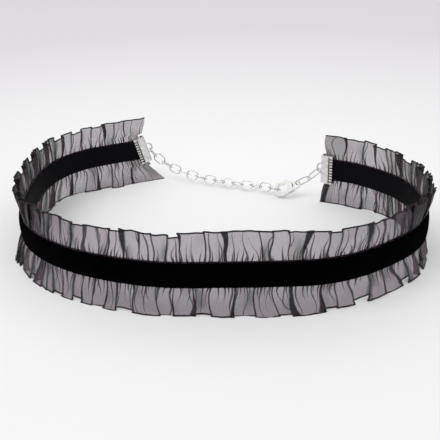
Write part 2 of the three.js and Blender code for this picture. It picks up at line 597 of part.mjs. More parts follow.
// The clasp's outline: round at the hook and drawn in to the eye.
function claspShape(hookRadius, eyeRadius, eyeAt) {
  const lean = Math.asin((hookRadius - eyeRadius) / (eyeAt - hookRadius));
  const shape = new THREE.Shape();
  shape.absarc(hookRadius, 0, hookRadius, Math.PI / 2 - lean, 1.5 * Math.PI + lean, false);
  shape.absarc(eyeAt, 0, eyeRadius, -Math.PI / 2 + lean, Math.PI / 2 - lean, false);
  return shape;
}

const HOOK_RADIUS = CLASP_WIDTH / 2;
const HOOK_HOLLOW = HOOK_RADIUS - HOOK_ARM;
const EYE_AT = CLASP_LENGTH - EYE_RADIUS;
const PIVOT = new THREE.Vector2(PIVOT_ALONG, -PIVOT_DROP);

// The clasp's body with its pin: x from the hook to the eye, the lever's side at negative y.
function claspBodyGeometry() {
  const outline = claspShape(HOOK_RADIUS, EYE_RADIUS, EYE_AT);
  const hollow = new THREE.Shape();
  hollow.absarc(HOOK_RADIUS, 0, HOOK_HOLLOW, Math.PI / 2, 1.5 * Math.PI, false);
  const rearStart = PIVOT.x - LEVER_HEEL - CLASP_GAP;
  hollow.absarc(rearStart - HOLLOW_SETBACK, 0, HOLLOW_END, -Math.PI / 2, Math.PI / 2, false);
  const far = 2 * CLASP_LENGTH;
  const slot = LEVER_THICK / 2 + CLASP_GAP;
  const rearEnd = CLASP_LENGTH - EYE_LENGTH;
  const rear = plate(outline, CLASP_THICK).intersect(box(rearStart, rearEnd, -far, far, -far, far));
  const lug = plate(outline, EYE_THICK).intersect(box(rearEnd - EYE_RADIUS, far, -far, far, -far, far));
  const gate = box(NOSE_LENGTH, rearStart + CLASP_GAP, -far, -GATE_EDGE, -far, far);
  const heelRoom = box(
    rearStart - CLASP_GAP,
    PIVOT.x + LEVER_HEEL + CLASP_GAP,
    -far,
    PIVOT.y + LEVER_HEEL + CLASP_GAP,
    -slot,
    slot,
  );
  const upright = new THREE.Matrix4().makeRotationX(Math.PI / 2);
  const round = (radius, length, sides) =>
    new THREE.CylinderGeometry(radius, radius, length, sides).applyMatrix4(upright);
  const solid = plate(outline, HOOK_THICK)
    .intersect(box(-far, rearStart + CLASP_GAP, -far, far, -far, far))
    .add(rear)
    .add(lug)
    .subtract(plate(hollow, far))
    .subtract(gate)
    .subtract(heelRoom)
    .subtract(solidOf(round(EYE_HOLE, far, 12), shift(EYE_AT, 0, 0)))
    .add(solidOf(round(PIVOT_PIN, CLASP_THICK, 10), shift(PIVOT.x, PIVOT.y, 0)));
  return geometryOf(solid);
}

// The lever with its thumb tab, in the body's frame.
function claspLeverGeometry() {
  const tip = NOSE_LENGTH + CLASP_GAP;
  const outer = -HOOK_RADIUS + LEVER_INSET;
  const shape = new THREE.Shape();
  shape.moveTo(tip, outer + LEVER_WIDTH);
  shape.lineTo(tip, outer + LEVER_CHAMFER);
  shape.lineTo(tip + LEVER_WIDTH, outer);
  shape.lineTo(PIVOT.x - TAB_FROM, outer);
  shape.lineTo(PIVOT.x - TAB_CREST, outer - TAB_RISE);
  shape.lineTo(PIVOT.x - TAB_TO, outer - TAB_FALL);
  shape.lineTo(PIVOT.x, PIVOT.y - LEVER_HEEL);
  shape.absarc(PIVOT.x, PIVOT.y, LEVER_HEEL, -Math.PI / 2, Math.PI * 0.75, false);
  shape.lineTo(PIVOT.x - LEVER_NECK, outer + LEVER_WIDTH);
  const bore = new THREE.Path();
  bore.absarc(PIVOT.x, PIVOT.y, PIVOT_PIN + CLASP_GAP, 0, 2 * Math.PI, true);
  shape.holes.push(bore);
  return geometryOf(plate(shape, LEVER_THICK, 6));
}

function metal(color) {
  return new THREE.MeshStandardMaterial({ color, roughness: 0.28, metalness: 1 });
}

function cloth(color, roughness) {
  return new THREE.MeshStandardMaterial({ color, roughness, metalness: 0, side: THREE.DoubleSide });
}

const velvet = cloth(0x050406, 0.95);
const backing = cloth(0x100e12, 0.8);
const organza = cloth(0x4a444b, 0.6);
const silver = metal(0xd8d6d2);

const choker = new THREE.Group();

function addPiece(name, geometry, material, parent = choker) {
  const mesh = new THREE.Mesh(geometry, material);
  mesh.name = name;
  parent.add(mesh);
  return mesh;
}

addPiece("velvet_ribbon", ribbonGeometry(RIBBON_FACE, RIBBON_BACK), velvet);
addPiece("backing_ribbon", ribbonGeometry(-RIBBON_BACK, -RIBBON_FACE), backing);
addPiece(
  "upper_ruffle",
  ruffleGeometry(UPPER_CREASES, "upper", 1, HEM_ENDS.upperLeft, HEM_ENDS.upperRight),
  organza,
);
addPiece(
  "lower_ruffle",
  ruffleGeometry(LOWER_CREASES, "lower", -1, HEM_ENDS.lowerLeft, HEM_ENDS.lowerRight),
  organza,
);

// Puts a crimp on one end of the ribbon and gives the point in its half ring where a ring hangs, and the
// way through it.
function addCrimp(name, distance, outOfEnd, lean) {
  const group = new THREE.Group();
  group.position.copy(ribbonPoint(distance, 0, RIBBON_MIDDLE));
  const turn = new THREE.Matrix4().makeBasis(outOfEnd, UP.clone().cross(outOfEnd), UP);
  group.quaternion.setFromRotationMatrix(turn);
  group.rotateY(THREE.MathUtils.degToRad(lean));
  choker.add(group);
  addPiece(name, crimpGeometry(), silver, group);
  group.updateMatrixWorld(true);
  const inside = LOOP_RADIUS - LOOP_WIRE / 2 - CHAIN_WIRE / 2 - LINK_SLACK;
  const lowered = new THREE.Vector3(
    SPINE_BACK + inside * Math.cos(Math.PI / 4),
    0,
    -inside * Math.sin(Math.PI / 4),
  );
  const through = new THREE.Vector3(0, 1, 0).transformDirection(group.matrixWorld);
  return { hold: group.localToWorld(lowered), through };
}

const left = addCrimp("left_crimp", -LEFT_RUN, ribbonHeading(0).negate(), -LEFT_CRIMP_LEAN);
const rightEnd = RIBBON_LENGTH + RIGHT_RUN;
const right = addCrimp("right_crimp", rightEnd, ribbonHeading(rightEnd), 0);

const span = right.hold.clone().sub(left.hold).setZ(0);
const alongSpan = span.clone().normalize();
const towardsFront = outwardOf(alongSpan);

function routePoint({ along, front, up }) {
  return left.hold
    .clone()
    .addScaledVector(span, along)
    .addScaledVector(towardsFront, front)
    .setZ(up);
}

// The way a link's width runs when it is rolled from upright round its length.
function rolledAcross(near, far, degrees) {
  const axis = far.clone().sub(near).normalize();
  const upright = UP.clone().addScaledVector(axis, -UP.dot(axis)).normalize();
  return upright.applyAxisAngle(axis, THREE.MathUtils.degToRad(degrees));
}

// A link whose two end wires have their middles at near and far.
function addLink(name, near, far, width, across) {
  const mesh = addPiece(name, linkGeometry(far.distanceTo(near) + CHAIN_WIRE, width, CHAIN_WIRE), silver);
  const axis = far.clone().sub(near).normalize();
  const square = across.clone().addScaledVector(axis, -across.dot(axis)).normalize();
  mesh.position.copy(near).add(far).multiplyScalar(0.5);
  mesh.quaternion.setFromRotationMatrix(
    new THREE.Matrix4().makeBasis(axis, square, axis.clone().cross(square)),
  );
}

function twisted(across, near, far, degrees) {
  const axis = far.clone().sub(near).normalize();
  return across.clone().applyAxisAngle(axis, THREE.MathUtils.degToRad(degrees));
}

// A smooth way through points, as a function of the distance along it.
function wayThrough(points) {
  const curve = new THREE.CatmullRomCurve3(points, false, "centripetal");
  const length = curve.getLength();
  return { length, at: (distance) => curve.getPointAt(THREE.MathUtils.clamp(distance / length, 0, 1)) };
}

const overlap = CHAIN_WIRE + LINK_SLACK;

// From the right crimp: an oval ring, one link, then the clasp's eye.
const rightWay = wayThrough([right.hold, ...RIGHT_ROUTE.map(routePoint)]);
const ringReach = RIGHT_RING_LENGTH - CHAIN_WIRE;
const ringEnd = rightWay.at(ringReach);
const tailStart = rightWay.at(ringReach - overlap);
const tailEnd = rightWay.at(ringReach - overlap + TAIL_LENGTH - CHAIN_WIRE);

// The clasp hangs on the tail link by its eye and slopes down to its hook.
const claspHeading = alongSpan
  .clone()
  .multiplyScalar(CLASP_HEADING.along)
  .addScaledVector(towardsFront, CLASP_HEADING.front)
  .addScaledVector(UP, CLASP_HEADING.up)
  .normalize();
const claspX = claspHeading.clone().negate();
const claspY = rolledAcross(new THREE.Vector3(), claspX, CLASP_ROLL).negate();
const claspFace = claspX.clone().cross(claspY);
const clasp = new THREE.Group();
clasp.quaternion.setFromRotationMatrix(new THREE.Matrix4().makeBasis(claspX, claspY, claspFace));
clasp.position.copy(tailEnd).addScaledVector(claspX, -EYE_AT);
choker.add(clasp);
addPiece("clasp_body", claspBodyGeometry(), silver, clasp);
addPiece("clasp_lever", claspLeverGeometry(), silver, clasp);
clasp.updateMatrixWorld(true);

const ringAcross = twisted(right.through, right.hold, ringEnd, RIGHT_RING_TWIST);
addLink("right_ring", right.hold, ringEnd, RIGHT_RING_WIDTH, ringAcross);
addLink("tail_link", tailStart, tailEnd, LINK_WIDTH, twisted(claspFace, tailStart, tailEnd, TAIL_TWIST));

// The extender chain: a ring in the left crimp, then links of one length that together fill the way to
// the hook.
const hooked = clasp.localToWorld(
  new THREE.Vector3(HOOK_ARM + HOOK_SLACK + CHAIN_WIRE / 2, -HOOKED_DROP, 0),
);
const leftWay = wayThrough([left.hold, ...LEFT_ROUTE.map(routePoint), hooked]);
const leftReach = LEFT_RING_LENGTH - CHAIN_WIRE;
const leftRingEnd = leftWay.at(leftReach);
const leftAcross = twisted(left.through, left.hold, leftRingEnd, LEFT_RING_TWIST);
addLink("left_ring", left.hold, leftRingEnd, LEFT_RING_WIDTH, leftAcross);
const chainStart = leftReach - overlap;
const linkReach = (leftWay.length - chainStart + (LINK_COUNT - 1) * overlap) / LINK_COUNT;
for (let i = 0; i < LINK_COUNT; i++) {
  const start = chainStart + i * (linkReach - overlap);
  const near = leftWay.at(start);
  const far = leftWay.at(start + linkReach);
  const fromHook = LINK_COUNT - 1 - i;
  const across = fromHook
    ? rolledAcross(near, far, LINK_ROLLS[fromHook % LINK_ROLLS.length])
    : twisted(claspFace, near, far, HOOKED_TWIST);
  addLink(`chain_link_${String(i + 1).padStart(2, "0")}`, near, far, LINK_WIDTH, across);
}

// The origin is under the middle of the whole, on the surface that it stands on.
choker.updateMatrixWorld(true);
const extent = new THREE.Box3().setFromObject(choker, true);
const middle = extent.getCenter(new THREE.Vector3());
choker.position.set(-middle.x, -middle.y, -extent.min.z);

export default choker;
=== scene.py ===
"""A ruffled choker: a velvet ribbon sewn over two gathered organza ruffles, with crimps, chain and clasp.

Sizes are in millimetres unless a comment says otherwise, and in metres in the finishes.
"""

import logging
import math
from collections.abc import Callable, Iterable
from dataclasses import dataclass, field
from enum import Enum

import bmesh
import bpy
import numpy as np
from mathutils import Matrix, Vector


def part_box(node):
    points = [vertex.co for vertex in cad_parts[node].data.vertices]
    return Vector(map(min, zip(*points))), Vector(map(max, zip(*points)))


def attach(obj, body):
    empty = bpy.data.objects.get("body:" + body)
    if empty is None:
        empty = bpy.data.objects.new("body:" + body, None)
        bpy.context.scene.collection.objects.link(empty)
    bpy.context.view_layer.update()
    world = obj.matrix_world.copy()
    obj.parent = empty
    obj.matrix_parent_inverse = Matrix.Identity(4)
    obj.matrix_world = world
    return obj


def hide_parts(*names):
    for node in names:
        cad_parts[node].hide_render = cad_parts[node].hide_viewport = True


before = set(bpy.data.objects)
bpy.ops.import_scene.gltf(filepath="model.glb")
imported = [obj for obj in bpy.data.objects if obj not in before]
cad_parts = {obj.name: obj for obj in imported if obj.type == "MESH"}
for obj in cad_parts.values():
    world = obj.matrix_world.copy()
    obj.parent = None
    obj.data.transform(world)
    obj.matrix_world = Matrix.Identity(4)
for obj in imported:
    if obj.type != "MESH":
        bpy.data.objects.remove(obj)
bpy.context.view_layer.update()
LOG = logging.getLogger("choker")
MM = 0.001
TINY = 1e-6  # what counts as nothing

Colour = tuple[float, float, float, float]  # red, green, blue and alpha

# The ribbon's plan from its left end round the front to its right end: across as a share of the plan's
# width from the middle, and back as a share of its depth from the front.
PLAN = (
    (-0.245, 1), (-0.326, 0.963), (-0.395, 0.922), (-0.457, 0.841), (-0.489, 0.734), (-0.498, 0.595),
    (-0.493, 0.45), (-0.47, 0.327), (-0.428, 0.24), (-0.354, 0.152), (-0.259, 0.083), (-0.128, 0.028),
    (0.001, 0.012), (0.126, 0.004), (0.211, 0.005), (0.299, 0.035), (0.398, 0.111), (0.447, 0.166),
    (0.482, 0.236), (0.501, 0.342), (0.497, 0.437), (0.476, 0.525), (0.443, 0.59), (0.39, 0.66),
    (0.326, 0.712),
)

# Creases of each ruffle, left end to right end. The columns are hem and root, shares of the ribbon's
# length; level, how far the next panel stands out, as a share of the fold depth; pleat, the width of a
# folded-over pleat as a share of the widest; and rise, how far that panel's hem falls short, as a share
# of the most.
UPPER_CREASES = (
    (0.0135, 0.0157, -0.5, 0, 0), (0.0278, 0.0307, 0.4, 0, 0.1), (0.0439, 0.0439, -0.7, 0.6, 0.2),
    (0.06, 0.0642, 0.6, 0, 0.1), (0.076, 0.0781, -0.4, 0, 0.5), (0.0918, 0.0951, 0.8, 0, 0.1),
    (0.1079, 0.1099, -0.8, 0, 0.4), (0.1228, 0.1228, 1, 0.5, 0), (0.1395, 0.1426, -0.6, 0, 0.4),
    (0.1578, 0.1609, 0.7, 0, 0.1), (0.1757, 0.1786, -0.8, 0, 0.4), (0.1956, 0.1956, 0.6, 0.6, 0),
    (0.2155, 0.2134, -0.6, 0, 0.3), (0.2343, 0.2322, 0.9, 0, 0), (0.253, 0.2519, -0.7, 0.5, 0.2),
    (0.2717, 0.2708, 0.5, 0, 0.1), (0.2894, 0.2873, -0.8, 0, 0.3), (0.3079, 0.3049, 0.8, 0, 0),
    (0.3266, 0.3227, -0.5, 0.6, 0.2), (0.3455, 0.3406, 0.7, 0, 0), (0.3645, 0.3596, -0.6, 0.6, 0.3),
    (0.3805, 0.3785, 0.5, 0, 0.2), (0.3956, 0.3914, -0.8, 0.7, 0.9), (0.4135, 0.4105, 0.9, 0, 0.1),
    (0.4277, 0.4266, -0.3, 0, 0.4), (0.4416, 0.4357, 0.4, 0, 0.3), (0.4547, 0.4547, -0.5, 0.8, 0.2),
    (0.4737, 0.4718, 0.5, 0, 0), (0.4859, 0.4859, -0.2, 0, 0.4), (0.5017, 0.4987, -0.9, 0, 1),
    (0.5128, 0.5128, 0.5, 0.4, 0), (0.5369, 0.5357, 0, 0, 0), (0.5561, 0.5561, -0.7, 0.8, 0.1),
    (0.5892, 0.5923, 0.3, 0, 0), (0.6024, 0.5994, -0.4, 0, 0), (0.6175, 0.6175, 0.2, 0, 0),
    (0.6375, 0.6315, 0.7, 0.8, 0), (0.6557, 0.6547, -0.7, 0, 0.6), (0.6677, 0.6656, 0.4, 0, 0),
    (0.6827, 0.6808, -0.4, 0, 0.2), (0.6975, 0.6986, 0.7, 1, 0.2), (0.7145, 0.7173, -0.7, 0, 0.6),
    (0.7282, 0.7331, 0.6, 0, 0), (0.7432, 0.7452, -0.5, 0, 0.1), (0.7589, 0.7597, 0.8, 0.6, 0),
    (0.7751, 0.7761, -0.7, 0, 0.3), (0.7916, 0.7916, 0.7, 0, 0), (0.8086, 0.8086, -0.6, 0.6, 0.2),
    (0.8262, 0.8252, 0.8, 0, 0), (0.8447, 0.8417, -0.7, 0, 0.4), (0.8602, 0.8583, 0.9, 0.5, 0),
    (0.8761, 0.875, -0.5, 0, 0.3), (0.9019, 0.8999, 0.5, 0.9, 0.1), (0.9252, 0.9202, -0.6, 0, 0.2),
    (0.9413, 0.9373, 0.6, 0.4, 0), (0.9565, 0.9586, -0.5, 0, 0.1), (0.9832, 0.9842, 0.3, 0.4, 0),
)
LOWER_CREASES = (
    (0.0115, 0.0125, 0.5, 0.5, 0), (0.0268, 0.0246, -0.5, 0, 0), (0.0428, 0.0399, 0.5, 0, 0.1),
    (0.0631, 0.06, -0.6, 0.7, 0.1), (0.0835, 0.0781, 0.4, 0, 0), (0.1035, 0.0981, -0.7, 0.6, 0.3),
    (0.126, 0.1176, 0.8, 0, 0), (0.1426, 0.1365, -0.7, 0.6, 0.4), (0.1609, 0.1538, 0.8, 0, 0),
    (0.1786, 0.1708, -0.6, 0, 0.3), (0.1966, 0.1897, 0.7, 0.6, 0), (0.2155, 0.2104, -0.6, 0, 0.2),
    (0.2343, 0.2312, 0.9, 0, 0), (0.2539, 0.2519, -0.6, 0.5, 0.2), (0.2717, 0.2708, 0.7, 0, 0),
    (0.2883, 0.2883, -0.7, 0, 0.3), (0.3029, 0.3059, 0.6, 0.6, 0), (0.3177, 0.3238, -0.7, 0, 0.3),
    (0.3307, 0.3406, 0.9, 0, 0), (0.3626, 0.3596, -0.4, 0, 0.2), (0.3755, 0.3755, 0.6, 0, 0),
    (0.3895, 0.3936, -0.7, 0, 0.6), (0.4015, 0.4055, 0.4, 0, 0.1), (0.4135, 0.4186, -0.1, 0, 0),
    (0.4277, 0.4327, 0.8, 0, 0), (0.4416, 0.4444, -0.4, 0, 0.4), (0.4608, 0.4637, 0.4, 0, 0.1),
    (0.4887, 0.4859, -0.4, 0, 0), (0.5029, 0.5047, 0.3, 0, 0.1), (0.5217, 0.5229, -0.5, 0.7, 0.1),
    (0.5408, 0.5408, 0.3, 0, 0.1), (0.5612, 0.565, -0.3, 0.6, 0), (0.5851, 0.5851, 0.3, 0, 0),
    (0.6082, 0.6024, -0.4, 0, 0.1), (0.6255, 0.6205, 0.5, 0.9, 0), (0.6516, 0.6506, -0.6, 0.8, 0.2),
    (0.6677, 0.6638, 0, 0, 0.1), (0.6857, 0.6786, -0.8, 0, 0.8), (0.7034, 0.7015, 0.7, 0.7, 0.3),
    (0.7252, 0.7184, 0.2, 0, 0), (0.7491, 0.7352, -0.8, 0, 0.6), (0.7627, 0.752, 0.6, 0.7, 0.1),
    (0.7781, 0.7703, -0.7, 0, 0.3), (0.7935, 0.7887, 0.8, 0, 0), (0.8086, 0.8068, -0.6, 0.6, 0.3),
    (0.8252, 0.8252, 0.9, 0, 0), (0.8417, 0.8427, -0.7, 0, 0.3), (0.8583, 0.8602, 0.7, 0.5, 0),
    (0.8761, 0.879, -0.6, 0, 0.4), (0.8939, 0.8999, 0.7, 0, 0), (0.9161, 0.9191, -0.8, 0.6, 0.5),
    (0.9353, 0.9363, 0.7, 0, 0), (0.9565, 0.9575, -0.4, 0.6, 0.1), (0.9761, 0.9761, 0.3, 0, 0.1),
)

# How closely the cloth is folded, from 0 in front to 1 where the band turns, at shares of its length.
TURNS = ((0.1, 0), (0.15, 1), (0.33, 1), (0.37, 0), (0.73, 0), (0.77, 1), (0.89, 1), (0.93, 0))

# How far each ruffle's hem leans out, as a share of the most: at, a share of the ribbon's length, then the
# upper and the lower hem.
FLARES = (
    (0, -0.06, -0.7), (0.03, 0, -0.76), (0.065, -0.1, -0.52), (0.1, -0.36, 0.16), (0.14, -0.16, 0.24),
    (0.2, 0, 0.5), (0.265, 0.06, 1), (0.285, 0.06, 0.76), (0.32, 0, 0.48), (0.37, -0.16, 0.36),
    (0.42, -0.16, 0.4), (0.48, 0.04, 0.36), (0.52, -0.12, 0.24), (0.57, -0.06, 0.42), (0.61, -0.08, 0.4),
    (0.64, 0.08, 0.2), (0.67, 0.32, 0.14), (0.7, 0.28, 0.14), (0.74, 0.14, 0.24), (0.79, 0.28, 0.22),
    (0.82, 0.12, 0.24), (0.85, 0.04, 0.3), (0.88, -0.3, 0.24), (0.93, -0.12, 0.04), (0.98, -0.12, -0.32),
    (1, -0.16, -0.36),
)


class Body(str, Enum):
    """The bodies that pieces ride on."""

    CHOKER = "choker"
    LEVER = "clasp_lever"


class Slot(str, Enum):
    """The record's material slots."""

    VELVET = "velvet"
    BACKING = "backing"
    ORGANZA = "organza"
    SILVER = "silver"


class Side(Enum):
    """The edge of the ribbon that a ruffle springs from."""

    UPPER = 1
    LOWER = -1


# Finishes


@dataclass(frozen=True)
class NodeTree:
    """A node tree with short ways to add and join its nodes."""

    tree: bpy.types.NodeTree

    def add(self, kind: str, **settings: object) -> bpy.types.Node:
        """Adds one node.

        Args:
            kind: The node's type name without its ShaderNode prefix, or in full for group nodes.
            **settings: Properties of the node to set.

        Returns:
            The new node.
        """
        node = self.tree.nodes.new(kind if kind.startswith("Node") else f"ShaderNode{kind}")
        for name, value in settings.items():
            setattr(node, name, value)
        return node

    def join(self, source: bpy.types.NodeSocket, target: bpy.types.NodeSocket) -> None:
        """Links source to target."""
        self.tree.links.new(source, target)

    def feed(self, socket: bpy.types.NodeSocket, value: object) -> None:
        """Links a socket or sets a plain value.

        Args:
            socket: The input to fill.
            value: Another socket, or the value itself.
        """
        if isinstance(value, bpy.types.NodeSocket):
            self.join(value, socket)
        else:
            socket.default_value = value

    def fill(self, node: bpy.types.Node, values: dict[str, object]) -> None:
        """Feeds several inputs of a node.

        Args:
            node: The node.
            values: What each input gets, by the input's name.
        """
        for name, value in values.items():
            self.feed(node.inputs[name], value)

    def math(
        self, operation: str, first: object, second: object = 0.0, third: object = 0.0
    ) -> bpy.types.NodeSocket:
        """Adds a Math node.

        Args:
            operation: Its operation.
            first: A socket or number.
            second: A socket or number.
            third: A socket or number.

        Returns:
            Its output.
        """
        node = self.add("Math", operation=operation)
        for socket, value in zip(node.inputs, (first, second, third)):
            self.feed(socket, value)
        return node.outputs[0]

    def clamp(self, value: object) -> bpy.types.NodeSocket:
        """Keeps a value between 0 and 1."""
        return self.math("MINIMUM", self.math("MAXIMUM", value, 0.0), 1.0)

    def mix(self, share: object, first: object, second: object) -> bpy.types.NodeSocket:
        """Adds a colour Mix node.

        Args:
            share: A socket or number, 0 for first and 1 for second.
            first: A socket or colour.
            second: A socket or colour.

        Returns:
            Its colour output.
        """
        node = self.add("Mix", data_type="RGBA")
        self.fill(node, {"Factor": share, "A": first, "B": second})
        colours = [socket for socket in node.outputs if socket.type == "RGBA"]
        return colours[0]


def node_group(
    name: str, inputs: dict[str, tuple[str, object]], outputs: dict[str, str]
) -> tuple[NodeTree, bpy.types.Node, bpy.types.Node]:
    """Starts a shader node group.

    Args:
        name: The group's name.
        inputs: Each input's socket type and first value.
        outputs: Each output's socket type.

    Returns:
        The group's nodes, its input node and its output node.
    """
    group = bpy.data.node_groups.new(name, "ShaderNodeTree")
    for label, (kind, value) in inputs.items():
        socket = group.interface.new_socket(name=label, in_out="INPUT", socket_type=kind)
        if value is not None:
            socket.default_value = value
    for label, kind in outputs.items():
        group.interface.new_socket(name=label, in_out="OUTPUT", socket_type=kind)
    tree = NodeTree(group)
    return tree, tree.add("NodeGroupInput"), tree.add("NodeGroupOutput")


def grain_group() -> bpy.types.NodeTree:
    """Makes the uneven grain that every finish uses.

    Returns:
        A group that turns a place into a value between Low and High.
    """
    usual_low, usual_high = 0.28, 0.72  # what nearly all of the noise lies between
    tree, given, out = node_group(
        "uneven_grain",
        {
            "Vector": ("NodeSocketVector", None),
            "Scale": ("NodeSocketFloat", 1000.0),
            "Detail": ("NodeSocketFloat", 3.0),
            "Low": ("NodeSocketFloat", 0.0),
            "High": ("NodeSocketFloat", 1.0),
        },
        {"Value": "NodeSocketFloat"},
    )
    noise = tree.add("TexNoise")
    tree.fill(noise, {name: given.outputs[name] for name in ("Vector", "Scale", "Detail")})
    spread = tree.add("MapRange")
    tree.fill(
        spread,
        {
            "Value": noise.outputs["Fac"],
            "From Min": usual_low,
            "From Max": usual_high,
            "To Min": given.outputs["Low"],
            "To Max": given.outputs["High"],
        },
    )
    tree.join(spread.outputs["Result"], out.inputs["Value"])
    return tree.tree


def weave_group() -> bpy.types.NodeTree:
    """Makes the plain weave of organza and ribbon.

    Returns:
        A group that gives the threads' height, and a mask that is 1 on a thread and 0 between threads.
    """
    slub_scale = 600.0  # of the places where threads wander, in a metre
    wander = 6.0  # threads that the widest unevenness moves them by
    tree, given, out = node_group(
        "plain_weave",
        {
            "Vector": ("NodeSocketVector", None),
            "Warp": ("NodeSocketFloat", 3000.0),
            "Weft": ("NodeSocketFloat", 3000.0),
            "Unevenness": ("NodeSocketFloat", 0.3),
        },
        {"Height": "NodeSocketFloat", "Mask": "NodeSocketFloat"},
    )
    parts = tree.add("SeparateXYZ")
    tree.join(given.outputs["Vector"], parts.inputs[0])
    slub = tree.add("TexNoise")
    tree.fill(slub, {"Vector": given.outputs["Vector"], "Scale": slub_scale})
    uneven = tree.math("SUBTRACT", slub.outputs["Fac"], 0.5)
    drift = tree.math("MULTIPLY", uneven, given.outputs["Unevenness"])
    waves = []
    for axis, count in (("X", "Warp"), ("Y", "Weft")):
        turns = tree.math("MULTIPLY", parts.outputs[axis], given.outputs[count])
        moved = tree.math("ADD", turns, tree.math("MULTIPLY", drift, wander))
        wave = tree.math("SINE", tree.math("MULTIPLY", moved, 2 * math.pi))
        waves.append(tree.math("MULTIPLY_ADD", wave, 0.5, 0.5))
    tree.join(tree.math("MAXIMUM", waves[0], waves[1]), out.inputs["Mask"])
    tree.join(tree.math("MULTIPLY", tree.math("ADD", waves[0], waves[1]), 0.5), out.inputs["Height"])
    return tree.tree


def gather_group() -> bpy.types.NodeTree:
    """Makes the fine creases that run out from the gathered edge and fade towards the hem, drawn as a mask
    that thickens the organza and paints shade into its colour.

    Returns:
        A group that is 1 on a crease and 0 between creases. Its Vector is a place on the flat cloth in
        metres, x along the ribbon and y from the ribbon's edge to the hem.
    """
    lean_along, lean_across = 0.3, 90.0  # how fast the lean changes, a crease along and a metre across
    shortest, longer = 0.25, 1.3  # the least length, and what chance adds, as shares of Reach
    thinnest, wider = 0.65, 0.7  # the least half width, and what chance adds, as shares of Half Width
    sharp = 1.8  # how fast a crease darkens from its sides
    tree, given, out = node_group(
        "gather_creases",
        {
            "Vector": ("NodeSocketVector", None),
            "Along": ("NodeSocketFloat", 600.0),
            "Bend": ("NodeSocketFloat", 460.0),
            "Half Width": ("NodeSocketFloat", 0.00036),
            "Reach": ("NodeSocketFloat", 0.0058),
            "Shift": ("NodeSocketFloat", 0.0),
        },
        {"Value": "NodeSocketFloat"},
    )
    parts = tree.add("SeparateXYZ")
    tree.join(given.outputs["Vector"], parts.inputs[0])
    across = parts.outputs["Y"]
    along = tree.math("MULTIPLY_ADD", parts.outputs["X"], given.outputs["Along"], given.outputs["Shift"])
    slow = tree.add("CombineXYZ")
    tree.join(tree.math("MULTIPLY", along, lean_along), slow.inputs["X"])
    tree.join(tree.math("MULTIPLY", across, lean_across), slow.inputs["Y"])
    sway = tree.add("TexNoise")
    tree.fill(sway, {"Vector": slow.outputs[0], "Scale": 1.0, "Detail": 0.0})
    leaning = tree.math("MULTIPLY", tree.math("SUBTRACT", sway.outputs["Fac"], 0.5), given.outputs["Bend"])
    cells = tree.add("TexVoronoi", voronoi_dimensions="1D")
    tree.fill(cells, {"W": tree.math("MULTIPLY_ADD", across, leaning, along), "Scale": 1.0})
    chance = tree.add("SeparateColor")
    tree.join(cells.outputs["Color"], chance.inputs[0])
    share = tree.math("MULTIPLY_ADD", chance.outputs[0], longer, shortest)
    length = tree.math("MULTIPLY", given.outputs["Reach"], share)
    left = tree.math("SUBTRACT", 1.0, tree.math("DIVIDE", across, length))
    half = tree.math("MULTIPLY", given.outputs["Half Width"], given.outputs["Along"])
    half = tree.math("MULTIPLY", half, tree.math("MULTIPLY_ADD", chance.outputs[1], wider, thinnest))
    aside = tree.math("DIVIDE", cells.outputs["Distance"], half)
    inside = tree.math("SUBTRACT", tree.math("MINIMUM", left, 1.0), aside)
    tree.join(tree.clamp(tree.math("MULTIPLY", inside, sharp)), out.inputs["Value"])
    return tree.tree


@dataclass(frozen=True)
class Finish:
    """What every finish shares: its name and the start of its material."""

    name: str

    def start(self) -> tuple[bpy.types.Material, NodeTree, bpy.types.Node]:
        """Starts the material.

        Returns:
            The material, its nodes and its Principled BSDF.
        """
        material = bpy.data.materials.new(self.name)
        material.use_nodes = True
        tree = NodeTree(material.node_tree)
        return material, tree, material.node_tree.nodes["Principled BSDF"]

    @staticmethod
    def group(tree: NodeTree, group: bpy.types.NodeTree, **values: object) -> bpy.types.Node:
        """Places a node group.

        Args:
            tree: Where it goes.
            group: The group.
            **values: What its inputs get, by name.

        Returns:
            The group's node.
        """
        node = tree.add("Group", node_tree=group)
        tree.fill(node, values)
        return node

    @staticmethod
    def bump(
        tree: NodeTree, shader: bpy.types.Node, height: object, distance: float, strength: float
    ) -> None:
        """Gives the shader a bumpy surface.

        Args:
            tree: The material's nodes.
            shader: The Principled BSDF.
            height: The socket with the height.
            distance: The relief's depth in metres.
            strength: Its strength.
        """
        node = tree.add("Bump")
        tree.fill(node, {"Distance": distance, "Strength": strength, "Height": height})
        tree.join(node.outputs["Normal"], shader.inputs["Normal"])


